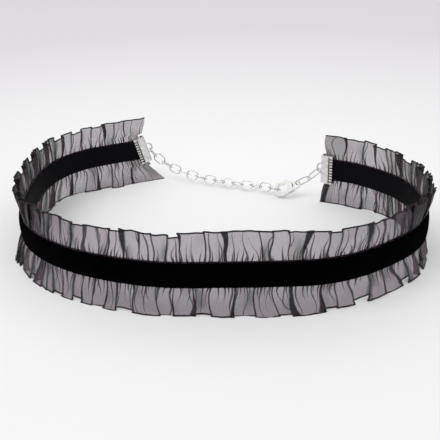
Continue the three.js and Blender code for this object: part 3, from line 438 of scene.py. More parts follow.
@dataclass(frozen=True)
class OrganzaFinish(Finish):
    """Sheer black organza, more opaque where it is gathered or seen along a fold, with painted shade in its
    colour at stacks, creases and cloth seen edge on.
    """

    weave: bpy.types.NodeTree
    grain: bpy.types.NodeTree
    gathers: bpy.types.NodeTree
    deep: Colour = (0.018, 0.011, 0.016, 1.0)  # painted shade where layers lie on layers, at creases and on cloth seen edge on
    single: Colour = (0.142, 0.082, 0.122, 1.0)
    gap: Colour = (0.082, 0.047, 0.070, 1.0)  # between its threads
    cover: float = 0.35  # of the light that one face of a flat single layer stops
    threads: float = 3300.0  # of its weave in a metre
    open_weave: float = 0.72  # thickness between the threads, in layers
    on_thread: float = 0.5  # layers that a thread adds
    short_crease: float = 2.4  # layers that a short crease adds
    long_crease: float = 2.0  # layers that a long crease adds
    stack: float = 0.6  # layers that a stack of folds adds
    edge_shade_from: float = 1.2  # density at which cloth that turns edge on starts to take the painted shade
    edge_shade_gain: float = 2.5  # how fast it does

    def material(self) -> bpy.types.Material:
        """Makes the material.

        Returns:
            The organza.
        """
        material, tree, shader = self.start()
        place = tree.add("UVMap", uv_map="cloth").outputs["UV"]
        weave = self.group(
            tree, self.weave, Vector=place, Warp=self.threads, Weft=self.threads, Unevenness=0.5
        )
        mottle = self.group(tree, self.grain, Vector=place, Scale=1900.0, Detail=3.0, Low=0.9, High=1.1)
        density = tree.add("Attribute", attribute_name="cloth_density").outputs["Fac"]
        layers = tree.add("Attribute", attribute_name="cloth_layers").outputs["Fac"]
        short = self.group(tree, self.gathers, Vector=place).outputs["Value"]
        long = self.group(tree, self.gathers, Vector=place, Along=230.0, Bend=260.0, Reach=0.017, Shift=7.4)
        long = long.outputs["Value"]
        folded = tree.math("MULTIPLY_ADD", short, self.short_crease, 1.0)
        folded = tree.math("MULTIPLY_ADD", long, self.long_crease, folded)
        folded = tree.math("MULTIPLY_ADD", layers, self.stack, folded)
        thread = tree.math("MULTIPLY_ADD", weave.outputs["Mask"], self.on_thread, self.open_weave)
        uneven = tree.math("MULTIPLY", thread, mottle.outputs["Value"])
        dense = tree.math("MULTIPLY", tree.math("MULTIPLY", density, folded), uneven)
        clear = tree.math("POWER", 1.0 - self.cover, dense)
        woven = tree.mix(weave.outputs["Mask"], self.gap, self.single)
        # Painted shade: the colour darkens towards deep at stacks of folds, at the drawn creases and on
        # cloth seen edge on.
        edge_on_shade = tree.math("MULTIPLY_ADD", density, self.edge_shade_gain, -self.edge_shade_gain * self.edge_shade_from)
        fold_shade = tree.math("MAXIMUM", layers, tree.math("MAXIMUM", short, long))
        fold_shade = tree.math("MINIMUM", tree.math("MAXIMUM", fold_shade, edge_on_shade), 1.0)
        self.bump(tree, shader, weave.outputs["Height"], distance=0.00004, strength=0.5)
        tree.fill(
            shader,
            {
                "Base Color": tree.mix(fold_shade, woven, self.deep),
                "Alpha": tree.math("SUBTRACT", 1.0, clear),
                "Roughness": 0.5,
                "Specular IOR Level": 0.35,
                "Sheen Weight": 0.08,
                "Sheen Roughness": 0.4,
            },
        )
        return material


@dataclass(frozen=True)
class VelvetFinish(Finish):
    """Deep black velvet with a short pile."""

    grain: bpy.types.NodeTree
    deep: Colour = (0.0003, 0.0003, 0.0005, 1.0)
    raised: Colour = (0.0016, 0.0014, 0.0020, 1.0)
    least_rough: float = 0.85
    brushed_rough: float = 0.1  # added where the pile is brushed up

    def material(self) -> bpy.types.Material:
        """Makes the material.

        Returns:
            The velvet.
        """
        material, tree, shader = self.start()
        place = tree.add("TexCoord").outputs["Object"]
        pile = self.group(tree, self.grain, Vector=place, Scale=5200.0, Detail=2.0).outputs["Value"]
        brushed = self.group(tree, self.grain, Vector=place, Scale=160.0, Detail=3.0).outputs["Value"]
        self.bump(tree, shader, pile, distance=0.00012, strength=0.7)
        tree.fill(
            shader,
            {
                "Base Color": tree.mix(tree.math("MULTIPLY", pile, brushed), self.deep, self.raised),
                "Roughness": tree.math("MULTIPLY_ADD", brushed, self.brushed_rough, self.least_rough),
                "Specular IOR Level": 0.0,
                "Sheen Weight": 0.012,
                "Sheen Roughness": 0.45,
                "Sheen Tint": (0.55, 0.5, 0.6, 1.0),
            },
        )
        return material


@dataclass(frozen=True)
class BackingFinish(Finish):
    """The plain woven ribbon behind, near-black with a dull shine."""

    weave: bpy.types.NodeTree
    grain: bpy.types.NodeTree
    colour: Colour = (0.0016, 0.0012, 0.0018, 1.0)
    bright: Colour = (0.0044, 0.0036, 0.0050, 1.0)

    def material(self) -> bpy.types.Material:
        """Makes the material.

        Returns:
            The woven ribbon.
        """
        material, tree, shader = self.start()
        place = tree.add("UVMap", uv_map="cloth").outputs["UV"]
        weave = self.group(tree, self.weave, Vector=place, Warp=2400.0, Weft=3600.0, Unevenness=0.12)
        wear = self.group(tree, self.grain, Vector=place, Scale=300.0, Detail=3.0, Low=0.5, High=0.66)
        self.bump(tree, shader, weave.outputs["Height"], distance=0.00005, strength=0.5)
        tree.fill(
            shader,
            {
                "Base Color": tree.mix(weave.outputs["Height"], self.colour, self.bright),
                "Roughness": wear.outputs["Value"],
                "Specular IOR Level": 0.04,
                "Sheen Weight": 0.005,
            },
        )
        return material


@dataclass(frozen=True)
class HemFinish(Finish):
    """The tight black thread of the rolled hem."""

    grain: bpy.types.NodeTree
    colour: Colour = (0.0040, 0.0030, 0.0040, 1.0)
    bright: Colour = (0.0160, 0.0120, 0.0150, 1.0)

    def material(self) -> bpy.types.Material:
        """Makes the material.

        Returns:
            The thread.
        """
        material, tree, shader = self.start()
        place = tree.add("TexCoord").outputs["Object"]
        stitch = self.group(tree, self.grain, Vector=place, Scale=4200.0, Detail=2.0).outputs["Value"]
        self.bump(tree, shader, stitch, distance=0.00008, strength=0.6)
        tree.fill(
            shader,
            {
                "Base Color": tree.mix(stitch, self.colour, self.bright),
                "Roughness": 0.6,
                "Specular IOR Level": 0.2,
            },
        )
        return material


@dataclass(frozen=True)
class SilverFinish(Finish):
    """Bright plated metal, a little rubbed and scratched."""

    grain: bpy.types.NodeTree
    colour: Colour = (0.80, 0.79, 0.77, 1.0)
    dull: Colour = (0.56, 0.55, 0.535, 1.0)
    least_rough: float = 0.16
    rubbed_rough: float = 0.14  # added where it is rubbed

    def material(self) -> bpy.types.Material:
        """Makes the material.

        Returns:
            The metal.
        """
        material, tree, shader = self.start()
        place = tree.add("TexCoord").outputs["Object"]
        rubbed = self.group(tree, self.grain, Vector=place, Scale=700.0, Detail=4.0).outputs["Value"]
        scratch = self.group(tree, self.grain, Vector=place, Scale=6000.0, Detail=3.0).outputs["Value"]
        self.bump(tree, shader, scratch, distance=0.00001, strength=0.4)
        tree.fill(
            shader,
            {
                "Base Color": tree.mix(rubbed, self.colour, self.dull),
                "Roughness": tree.math("MULTIPLY_ADD", rubbed, self.rubbed_rough, self.least_rough),
                "Metallic": 1.0,
            },
        )
        return material


@dataclass(frozen=True)
class FloorFinish(Finish):
    """The pale matt surface under the choker, with painted shade that darkens it away from the middle."""

    grain: bpy.types.NodeTree
    colour: Colour = (0.89, 0.885, 0.89, 1.0)
    shade: Colour = (0.85, 0.85, 0.855, 1.0)
    # painted shade that the floor darkens to away from the middle
    edge_shade: Colour = (0.70, 0.68, 0.70, 1.0)
    clear: float = 0.07  # metres from the middle that stay free of the painted shade
    shade_falloff: float = 3.2  # share of the painted shade colour that each metre past that adds

    def material(self) -> bpy.types.Material:
        """Makes the material.

        Returns:
            The floor's paint.
        """
        material, tree, shader = self.start()
        place = tree.add("TexCoord").outputs["Object"]
        patch = self.group(tree, self.grain, Vector=place, Scale=4.0, Detail=2.0)
        paint = tree.mix(patch.outputs["Value"], self.colour, self.shade)
        # Painted shade: the floor darkens with distance from the middle.
        away = tree.add("VectorMath", operation="LENGTH")
        tree.join(place, away.inputs[0])
        past = tree.math("SUBTRACT", away.outputs["Value"], self.clear)
        shade_falloff = tree.clamp(tree.math("MULTIPLY", past, self.shade_falloff))
        tree.fill(
            shader,
            {"Base Color": tree.mix(shade_falloff, paint, self.edge_shade), "Roughness": 0.9, "Specular IOR Level": 0.1},
        )
        return material


# Mesh helpers


def finished(
    name: str,
    bm: bmesh.types.BMesh,
    material: bpy.types.Material,
    body: Body,
    slot: Slot,
    replaced: Iterable[str] = (),
) -> bpy.types.Object:
    """Makes an object of a finished bmesh and puts it on its body.

    Args:
        name: The piece's name.
        bm: Its mesh, in the frame's metres, which is freed.
        material: Its finish.
        body: The body it rides on.
        slot: The record's material slot; not used.
        replaced: The CAD nodes that it stands for.

    Returns:
        The new object.
    """
    for face in bm.faces:
        face.smooth = True
    mesh = bpy.data.meshes.new(name)
    bm.to_mesh(mesh)
    bm.free()
    mesh.materials.append(material)
    piece = bpy.data.objects.new(name, mesh)
    bpy.context.scene.collection.objects.link(piece)
    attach(piece, body.value)
    if replaced:
        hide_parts(*replaced)
    LOG.info("%s: %d faces on %s", name, len(mesh.polygons), body.value)
    return piece


def cloth_grid(
    columns: int,
    rows: int,
    place: Callable[[int, int], Vector],
    cloth: Callable[[int, int], tuple[float, float]],
) -> bmesh.types.BMesh:
    """Makes a flat grid and moves it into place.

    Args:
        columns: Its points along.
        rows: Its points across.
        place: Gives the place of a column and row.
        cloth: Gives a column and row's place on the flat cloth, in metres.

    Returns:
        The mesh with a UV map named cloth.
    """
    bm = bmesh.new()
    bmesh.ops.create_grid(bm, x_segments=columns - 1, y_segments=rows - 1, size=0.5)
    uv = bm.loops.layers.uv.new("cloth")
    at = {
        vert: (round((vert.co.x + 0.5) * (columns - 1)), round((vert.co.y + 0.5) * (rows - 1)))
        for vert in bm.verts
    }
    for face in bm.faces:
        for loop in face.loops:
            loop[uv].uv = cloth(*at[loop.vert])
    for vert, (column, row) in at.items():
        vert.co = place(column, row)
    bm.normal_update()
    return bm


def add_modifier(piece: bpy.types.Object, kind: str, **settings: object) -> bpy.types.Modifier:
    """Gives a piece a modifier.

    Args:
        piece: The piece.
        kind: The modifier's type.
        **settings: Its settings.

    Returns:
        The modifier.
    """
    modifier = piece.modifiers.new(kind.title(), kind)
    for name, value in settings.items():
        setattr(modifier, name, value)
    return modifier


# Cloth


@dataclass
class RibbonLine:
    """The line that the sewn layers follow round the neck."""

    plan_width: float = 148.0
    plan_depth: float = 111.0
    ribbon_width: float = 9.0
    drop: float = 10.3  # of the ruffles, from the ribbon's edge to the hem
    left_run: float = 3.4  # straight on past the curve's left end
    right_run: float = 2.4  # and past its right end
    left_lean: float = 14.0  # degrees of the slant at the left end
    face: float = 0.8  # of each ribbon's inner side, from the middle of the stack
    back: float = 1.8  # of each ribbon's outer side
    samples: int = 160  # of the curve between two stations
    box_samples: int = 2400  # along the whole ribbon, to find its box
    points: np.ndarray = field(init=False)
    distance: np.ndarray = field(init=False)
    headings: np.ndarray = field(init=False)
    shift: np.ndarray = field(init=False)
    length: float = field(init=False)

    def __post_init__(self) -> None:
        """Works out the curve and where the frame has it."""
        self.points = self.smooth_line(np.array(PLAN) * (self.plan_width, self.plan_depth))
        steps = np.linalg.norm(np.diff(self.points, axis=0), axis=1)
        self.distance = np.concatenate(([0.0], np.cumsum(steps)))
        self.length = float(self.distance[-1])
        tangents = np.gradient(self.points, self.distance, axis=0)
        self.headings = tangents / np.linalg.norm(tangents, axis=1, keepdims=True)
        self.shift = np.zeros(3)
        reach = np.linspace(-self.left_run, self.length + self.right_run, self.box_samples)
        own = np.concatenate([self.place(reach, out, self.drop) for out in (self.face, self.back)])
        low, high = (np.array(corner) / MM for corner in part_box("velvet_ribbon"))
        self.shift = (low + high - own.min(0) - own.max(0)) / 2
        self.shift[2] = low[2] - self.drop

    @property
    def middle(self) -> float:
        """The height of the ribbon's middle."""
        return self.drop + self.ribbon_width / 2

    def smooth_line(self, stations: np.ndarray) -> np.ndarray:
        """Runs a centripetal curve through stations.

        Args:
            stations: The stations, one a row.

        Returns:
            Points along the curve.
        """
        ends = np.vstack([2 * stations[0] - stations[1], stations, 2 * stations[-1] - stations[-2]])
        share = np.linspace(0, 1, self.samples, endpoint=False)[:, None]
        runs = []
        for a, b, c, d in zip(ends, ends[1:], ends[2:], ends[3:]):
            first, middle, last = (math.sqrt(np.linalg.norm(q - p)) for p, q in ((a, b), (b, c), (c, d)))
            start = ((b - a) / first - (c - a) / (first + middle) + (c - b) / middle) * middle
            end = ((c - b) / middle - (d - b) / (middle + last) + (d - c) / last) * middle
            cubic = 2 * b - 2 * c + start + end
            square = -3 * b + 3 * c - 2 * start - end
            runs.append(b + start * share + square * share**2 + cubic * share**3)
        return np.vstack([*runs, stations[-1:]])

    def place(self, distance: np.ndarray, out: np.ndarray | float, up: np.ndarray | float) -> np.ndarray:
        """Finds points round the neck.

        Args:
            distance: How far along the ribbon, and straight on past its ends.
            out: How far out from its line.
            up: How far above the floor.

        Returns:
            The points in millimetres, one a row.
        """
        inside = np.clip(distance, 0, self.length)
        x, y = (np.interp(inside, self.distance, self.points[:, i]) for i in (0, 1))
        along_x, along_y = (np.interp(inside, self.distance, self.headings[:, i]) for i in (0, 1))
        past = distance - inside
        flat = [x + along_x * past + along_y * out, y + along_y * past - along_x * out, up + 0 * x]
        return np.stack(flat, -1) + self.shift

    def slanted(self, distance: np.ndarray, up: np.ndarray | float) -> np.ndarray:
        """Leans the left end as its crimp does.

        Args:
            distance: How far along the ribbon.
            up: How far above the floor.

        Returns:
            The distance with the slant in it.
        """
        fade = np.clip(1 - (distance + self.left_run) / (2 * self.ribbon_width), 0, 1)
        return distance + math.tan(math.radians(self.left_lean)) * (up - self.middle) * fade


@dataclass
class Band:
    """One ribbon of the pair that holds the ruffles, drawn in along both edges where it is sewn."""

    name: str
    node: str
    slot: Slot
    line: RibbonLine
    edge_out: float  # of the sewn edges, from the middle of the stack
    middle_out: float  # of the crown between them
    thick: float
    wobble: float = 0.05  # of its edges
    seed: int = 11  # of the wobble
    smooth_columns: int = 9  # that the wobble is smoothed over
    columns: int = 700
    rows: int = 13
    crimped_out: float = 0.62  # where it lies flat in a crimp
    crimp_run: float = 4.0  # over which it flattens into each crimp
    edge_share: float = 0.4  # of the thickness that is rounded off at an edge
    edge_angle: float = 50.0  # least angle that counts as an edge

    def build(self, material: bpy.types.Material) -> bpy.types.Object:
        """Makes the ribbon.

        Args:
            material: Its finish.

        Returns:
            The piece.
        """
        line = self.line
        rng = np.random.default_rng(self.seed)
        draws = rng.normal(size=self.columns + self.smooth_columns - 1)
        evener = np.ones(self.smooth_columns) / math.sqrt(self.smooth_columns)
        uneven = np.convolve(draws, evener, "valid") * self.wobble
        across = np.linspace(-0.5, 0.5, self.rows)
        reached = np.linspace(-line.left_run, line.length + line.right_run, self.columns)
        near_end = np.minimum(reached + line.left_run, line.length + line.right_run - reached)
        free = np.clip((near_end - line.left_run) / self.crimp_run, 0, 1)
        flat = math.copysign(self.crimped_out, self.middle_out)
        points = []
        for share in across:
            up = line.middle + share * (line.ribbon_width + uneven)
            crown = (1 - (2 * share) ** 2) ** 0.5
            out = self.edge_out + (self.middle_out - self.edge_out) * crown
            run = line.slanted(reached, up)
            points.append(line.place(run, flat + (out - flat) * free, up) * MM)
        reach = (line.length + line.left_run + line.right_run) / (self.columns - 1)
        bm = cloth_grid(
            self.columns,
            self.rows,
            lambda column, row: Vector(points[row][column]),
            lambda column, row: (column * reach * MM, across[row] * line.ribbon_width * MM),
        )
        piece = finished(self.name, bm, material, Body.CHOKER, self.slot, [self.node])
        add_modifier(piece, "SOLIDIFY", thickness=self.thick * MM, offset=0.0)
        add_modifier(
            piece,
            "BEVEL",
            width=self.thick * self.edge_share * MM,
            segments=3,
            limit_method="ANGLE",
            angle_limit=math.radians(self.edge_angle),
        )
        return piece


@dataclass
class Ruffle:
    """One gathered organza ruffle with its rolled hem."""

    name: str
    node: str
    side: Side
    creases: tuple[tuple[float, ...], ...]
    line: RibbonLine
    left_end: float  # how far the hem goes on past the ribbon's left end
    right_end: float  # and past its right end
    seed: int
    fold_depth: float = 1.3  # that a panel stands in or out by, at most
    hem_flare: float = 5.0  # that the hem leans out by, at most
    root_out: float = 0.25  # share of a panel's stand-off that is left at the ribbon
    crease_fold: float = 0.6  # of cloth doubled over at a plain crease
    turn_fold: float = 1.5  # more of it at every crease where the band turns
    front_calm: float = 0.6  # share of the fold depth left where the band runs straight
    small_fold: float = 0.8  # of cloth doubled over between two creases where the band turns
    small_places: tuple[float, ...] = (0.36, 0.68)  # of it, as shares of the panel's width
    small_least: float = 0.1  # half of the narrowest that is made
    small_step: float = 0.4  # behind its panel, as a share of the fold depth
    pleat_width: float = 3.0  # of cloth doubled over at the widest pleat
    pleat_root: float = 0.3  # share of a pleat's cloth that is left folded at the ribbon
    crease_root: float = 0.8  # and of a plain crease's
    hem_rise: float = 2.0  # that a panel's hem falls short by, at most
    puff: float = 0.35  # bulge of a wide panel, as a share of the fold depth
    puff_width: float = 5.0  # of the narrowest panel that bulges
    thickness: float = 0.12  # of the organza
    fold_round: float = 0.19  # of cloth that a fold's roundness takes, to either side
    gather_depth: float = 0.26
    gather_pitch: float = 2.4
    gather_sewn: float = 0.3  # share of their depth that is left in the seam
    gather_from: float = 0.3  # from the ribbon's edge to where they start to deepen
    gather_full: float = 1.0  # to where they are deepest
    gather_fade: float = 0.6  # to where they start to fade
    gather_reach: float = 2.4  # over which most of them fade
    gather_knots: float = 3.0  # between changes of their pace and height
    gather_pace: tuple[float, float] = (0.7, 1.35)
    gather_height: tuple[float, float] = (0.45, 1.0)
    finer_gather: float = 0.35  # share that a second, finer ripple adds
    finer_pitch: float = 1.618  # how many of the finer go to one of the others
    finer_shift: float = 1.0  # radians that the finer start ahead
    bow: float = 0.8  # sideways curve of the folds between the ribbon and the hem
    bow_pitch: float = 7.0  # of cloth between its changes
    sway: float = 0.45  # share of the bow that curves to and fro
    sway_pitch: float = 5.0
    end_fold: float = 0.0  # turned back three layers thick at the right end
    end_layer: float = 0.3  # between those layers, as a share of the fold depth
    end_slip: float = 0.1  # that the outermost falls short of the end by
    drape: float = 0.32  # soft unevenness of the panels at the hem
    drape_pitches: tuple[float, float] = (4.0, 9.0)  # of its finer and its wider part
    drape_shares: tuple[float, float] = (0.6, 0.8)
    hem_wave: float = 0.22  # up and down, between the creases
    wave_pitch: float = 2.3
    hem_thread: float = 0.26  # radius of the rolled hem
    hem_weld: float = 0.0001  # between two of its points that count as one
    step: float = 0.38  # between columns of the mesh
    turn_columns: float = 1.1  # more columns for each radian that the cloth turns
    fold_search: float = 12.0  # of cloth, to either side, that a stack is looked for in
    turn_dense: float = 0.0  # how much denser it looks where the band turns and pushes it together
    turn_stack: float = 0.5  # share of that by which the turns count as stacked, which also gives them the organza's painted fold shade
    dense_most: float = 1.6  # layers that cloth seen edge on can look like
    crimp_edge: float = 2.05  # from the ribbon's edge to the end of a crimp's jaw
    half_way: float = 0.45  # share of the rest of the drop at which the folds are half spread
    spreads: tuple[float, ...] = (0.0, 0.02, 0.5, 1.0)  # of the folds, at seam, crimp, half way and hem
    openings: tuple[float, ...] = (0.0, 0.32, 0.72, 1.0)  # how far they stand out at the same places
    sewn_out: float = 0.5  # share of the root's offset that is left between the ribbons
    slanted_to: float = 0.1  # spread up to which the cloth leans as the crimp does
    reaches: tuple[float, ...] = (  # of the mesh's rows, from the ribbon's edge
        -1.2, -0.4, 0.0, 0.3, 0.6, 1.0, 1.45, 2.0, 2.6, 3.3, 4.1, 4.9, 5.8, 6.7, 7.6, 8.4, 9.1, 9.7, 10.3,
    )

    def key_points(self) -> np.ndarray:
        """Lists the turns of the cloth's path.

        Returns:
            Rows of hem distance, hem level, root distance, root offset and rise.
        """
        line = self.line
        keys = [(-line.left_run - self.left_end, 0.0, -line.left_run, 0.0, 0.0)]
        level = rise = 0.0
        for i, (hem_share, root_share, after, pleat, next_rise) in enumerate(self.creases):
            hem, root = hem_share * line.length, root_share * line.length
            turning = float(np.interp(hem_share, *np.array(TURNS).T))
            closer = self.turn_fold * turning
            half = ((pleat * self.pleat_width if pleat else self.crease_fold) + closer) / 2
            root_half = half * (self.pleat_root if pleat else self.crease_root)
            keys.append((hem + half, level, root + root_half, self.root_out * level, rise))
            keys.append((hem - half, after, root - root_half, self.root_out * after, next_rise))
            level, rise = after, next_rise
            if i + 1 < len(self.creases):
                wide = (self.creases[i + 1][0] - hem_share) * line.length
                root_wide = (self.creases[i + 1][1] - root_share) * line.length
                bulge = level + self.puff * (1 if level >= 0 else -1)
                behind = level - self.small_step
                root_out = self.root_out * level
                small = self.small_fold / 2 * turning
                if wide > self.puff_width and small > self.small_least:
                    for part in self.small_places:
                        there, root_there = hem + part * wide, root + part * root_wide
                        keys.append((there + small, bulge, root_there + small, root_out, rise))
                        keys.append((there - small, behind, root_there - small, root_out, rise))
                elif wide > self.puff_width:
                    keys.append((hem + wide / 2, bulge, root + root_wide / 2, root_out, rise))
        end = line.length + line.right_run
        hem_end = end + self.right_end
        keys.append((hem_end, 0.0, end, 0.0, 0.0))
        if self.end_fold:
            keys.append((hem_end - self.end_fold, self.end_layer, end - self.end_fold, 0.0, 0.0))
            keys.append((hem_end - self.end_slip, 2 * self.end_layer, end - self.end_slip, 0.0, 0.0))
        return np.array(keys)

    def folded_path(self) -> tuple[np.ndarray, np.ndarray]:
        """Runs the cloth through its turns with round folds.

        Returns:
            The distance along the cloth of each column, and its row of hem distance, hem offset, root
            distance, root offset and rise.
        """
        keys = self.key_points()
        turning = np.interp(keys[:, 0] / self.line.length, *np.array(TURNS).T)
        keys[:, 1] *= self.fold_depth * (self.front_calm + (1 - self.front_calm) * turning)
        runs = np.hypot(np.diff(keys[:, 0]), np.diff(keys[:, 1]))
        marks = np.concatenate(([0.0], np.cumsum(runs)))
        fine = 0.05  # between the points that are smoothed
        cloth = np.arange(0, marks[-1], fine)
        path = np.column_stack([np.interp(cloth, marks, column) for column in keys.T])
        widths = 4  # of the smoothing curve, to either side
        radius = int(widths * self.fold_round / fine)
        kernel = np.exp(-0.5 * (np.arange(-radius, radius + 1) * fine / self.fold_round) ** 2)
        kernel /= kernel.sum()
        path = np.column_stack(
            [
                np.convolve(np.pad(column, radius, mode="reflect", reflect_type="odd"), kernel, "valid")
                for column in path.T
            ]
        )
        turn = np.unwrap(np.arctan2(np.gradient(path[:, 1]), np.gradient(path[:, 0])))
        crowd = np.cumsum(fine / self.step + self.turn_columns * np.abs(np.gradient(turn)))
        count = int(crowd[-1])
        picked = np.interp(np.linspace(crowd[0], crowd[-1], count), crowd, np.arange(len(cloth)))
        whole = np.arange(len(cloth))
        columns = np.column_stack([np.interp(picked, whole, column) for column in path.T])
        return picked * fine, columns

    def gathers(self, cloth: np.ndarray, rng: np.random.Generator) -> np.ndarray:
        """Makes the small ripples that the gathering thread leaves.

        Args:
            cloth: The distance along the cloth of each column.
            rng: The seeded numbers.

        Returns:
            The ripple of each column, from about -1 to 1.
        """
        knots = np.arange(0, cloth[-1] + 2 * self.gather_knots, self.gather_knots)
        pace = np.interp(cloth, knots, rng.uniform(*self.gather_pace, len(knots)))
        turns = np.concatenate(([0.0], np.cumsum(np.diff(cloth) * pace[1:]))) / self.gather_pitch
        height = np.interp(cloth, knots, rng.uniform(*self.gather_height, len(knots)))
        finer = np.sin(2 * math.pi * turns * self.finer_pitch + self.finer_shift)
        return height * (np.sin(2 * math.pi * turns) + self.finer_gather * finer)

    def soft_noise(self, cloth: np.ndarray, pitch: float, rng: np.random.Generator) -> np.ndarray:
        """Makes a smooth unevenness along the cloth.

        Args:
            cloth: The distance along the cloth of each column.
            pitch: The distance between its knots.
            rng: The seeded numbers.

        Returns:
            A value of each column, from -1 to 1.
        """
        knots = np.arange(-pitch, cloth[-1] + 2 * pitch, pitch)
        values = rng.uniform(-1, 1, len(knots))
        place = (cloth - knots[0]) / pitch
        index = place.astype(int)
        share = place - index
        share = share * share * (3 - 2 * share)
        return values[index] * (1 - share) + values[index + 1] * share

    def folded_over(self, cloth: np.ndarray, along: np.ndarray) -> np.ndarray:
        """Finds where the cloth lies on itself.

        Args:
            cloth: The distance along the cloth of each column.
            along: How far along the ribbon each column of one row is.

        Returns:
            1 for each column that lies in a stack of three layers or more, and 0 for a single layer.
        """
        reach = int(self.fold_search / np.median(np.diff(cloth)))
        crossed = np.zeros(len(along))
        for offset in range(-reach, reach):
            near = np.roll(along, offset) - along
            after = np.roll(along, offset - 1) - along
            crossed += (near * after < 0) & (np.abs(near) < self.fold_search)
        return np.clip(crossed / 2, 0, 1)

    def sheet_points(self) -> tuple[np.ndarray, np.ndarray, np.ndarray, np.ndarray]:
        """Places every column and row of the cloth.

        Returns:
            The cloth distance of the columns, the points as rows by columns, how dense the cloth is at
            each, and whether it lies in a stack there.
        """
        line, side = self.line, self.side.value
        rng = np.random.default_rng(self.seed)
        cloth, path = self.folded_path()
        ripple = self.gathers(cloth, rng)
        slow, slower = (self.soft_noise(cloth, pitch, rng) for pitch in self.drape_pitches)
        wave = self.soft_noise(cloth, self.wave_pitch, rng)
        bow = self.bow * self.soft_noise(cloth, self.bow_pitch, rng)
        sway = self.sway * self.bow * self.soft_noise(cloth, self.sway_pitch, rng)
        place = path[:, 2] / line.length
        turning = np.interp(place, *np.array(TURNS).T)
        leans = np.array(FLARES)
        flare = self.hem_flare * np.interp(place, leans[:, 0], leans[:, 1 if side > 0 else 2])
        middle = self.crimp_edge + (line.drop - self.crimp_edge) * self.half_way
        bands = (self.gather_from, self.crimp_edge, middle, line.drop)
        deepening = self.gather_full - self.gather_from
        finer_drape, wider_drape = self.drape_shares
        points, dense, stacked = [], [], []
        for reach in self.reaches:
            spread = float(np.interp(reach, bands, self.spreads))
            opened = float(np.interp(reach, bands, self.openings))
            rising = float(np.clip((reach - self.gather_from) / deepening, 0, 1))
            fading = math.exp(-max(reach - self.gather_fade, 0) / self.gather_reach)
            gather = self.gather_depth * (self.gather_sewn + (1 - self.gather_sewn) * rising) * fading
            down = float(np.clip(reach / line.drop, 0, 1)) * math.pi
            along = path[:, 2] + (path[:, 0] - path[:, 2]) * spread
            along = along + bow * math.sin(down) + sway * math.sin(2 * down)
            out = path[:, 3] * (1 - opened) * self.sewn_out + (path[:, 1] + flare) * opened
            drape = self.drape * (finer_drape * slow + wider_drape * slower * spread) * opened
            out = out + gather * ripple + drape
            short = path[:, 4] * self.hem_rise * spread + self.hem_wave * wave * spread**2
            up = line.middle + side * (line.ribbon_width / 2 + reach - short)
            run = along if spread > self.slanted_to else line.slanted(along, up)
            points.append(line.place(run, out, up))
            advance = np.maximum(np.abs(np.gradient(along)), TINY)
            shadow = np.gradient(cloth) / advance
            slope = np.hypot(1, np.gradient(out) / advance)
            tight = 1 + self.turn_dense * turning
            dense.append(np.clip(np.maximum(shadow, slope), 1.0, self.dense_most) * tight)
            crowded = self.turn_stack * self.turn_dense * turning
            stacked.append(np.maximum(self.folded_over(cloth, along), crowded))
        wide = np.pad(np.array(dense), ((0, 0), (1, 1)), mode="edge")
        soft = (wide[:, :-2] + 2 * wide[:, 1:-1] + wide[:, 2:]) / 4
        return cloth, np.array(points), soft, np.array(stacked)

    def build(
        self, material: bpy.types.Material, thread: bpy.types.Material, held_by: list[bpy.types.Object]
    ) -> bpy.types.Object:
        """Makes the ruffle and its hem.

        Args:
            material: The organza.
            thread: The hem's finish.
            held_by: The ribbons that it is sewn between; not used.

        Returns:
            The ruffle.
        """
        cloth, points, density, stacked = self.sheet_points()
        rows, columns = density.shape
        bm = cloth_grid(
            columns,
            rows,
            lambda column, row: Vector(points[row, column] * MM),
            lambda column, row: (cloth[column] * MM, self.reaches[row] * MM),
        )
        # cloth_layers also marks where the organza paints fold shade into its colour.
        for label, values in (("cloth_density", density), ("cloth_layers", stacked)):
            layer = bm.verts.layers.float.new(label)
            for i, vert in enumerate(bm.verts):
                vert[layer] = float(values[i // columns, i % columns])
        piece = finished(self.name, bm, material, Body.CHOKER, Slot.ORGANZA, [self.node])
        add_modifier(piece, "SOLIDIFY", thickness=self.thickness * MM, offset=0.0)
        hem = self.rolled_hem(points[-1], thread)
        LOG.info("%s: %.0f mm of cloth gathered on %.0f mm", self.name, cloth[-1], self.line.length)
        return piece

    def rolled_hem(self, points: np.ndarray, thread: bpy.types.Material) -> bpy.types.Object:
        """Makes the thread-thick rolled edge along the hem.

        Args:
            points: The hem's points in millimetres.
            thread: Its finish.

        Returns:
            The hem.
        """
        curve = bpy.data.curves.new(f"{self.name}_line", "CURVE")
        curve.dimensions = "3D"
        curve.bevel_depth = self.hem_thread * MM
        curve.bevel_resolution = 1
        curve.use_fill_caps = True
        spline = curve.splines.new("POLY")
        spline.points.add(len(points) - 1)
        spline.points.foreach_set("co", np.column_stack([points * MM, np.ones(len(points))]).ravel())
        source = bpy.data.objects.new(f"{self.name}_line", curve)
        bpy.context.scene.collection.objects.link(source)
        view = bpy.context.evaluated_depsgraph_get()
        mesh = bpy.data.meshes.new_from_object(source.evaluated_get(view))
        bpy.data.objects.remove(source)
        bm = bmesh.new()
        bm.from_mesh(mesh)
        bmesh.ops.remove_doubles(bm, verts=bm.verts, dist=self.hem_weld * MM)
        bmesh.ops.recalc_face_normals(bm, faces=bm.faces)
        return finished(f"{self.name}_hem", bm, thread, Body.CHOKER, Slot.ORGANZA)


# Metal


def node_points(node: str) -> np.ndarray:
    """Reads where a CAD node is.

    Args:
        node: Its name.

    Returns:
        Its points in metres, one a row.
    """
    return np.array([vert.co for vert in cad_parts[node].data.vertices], float)


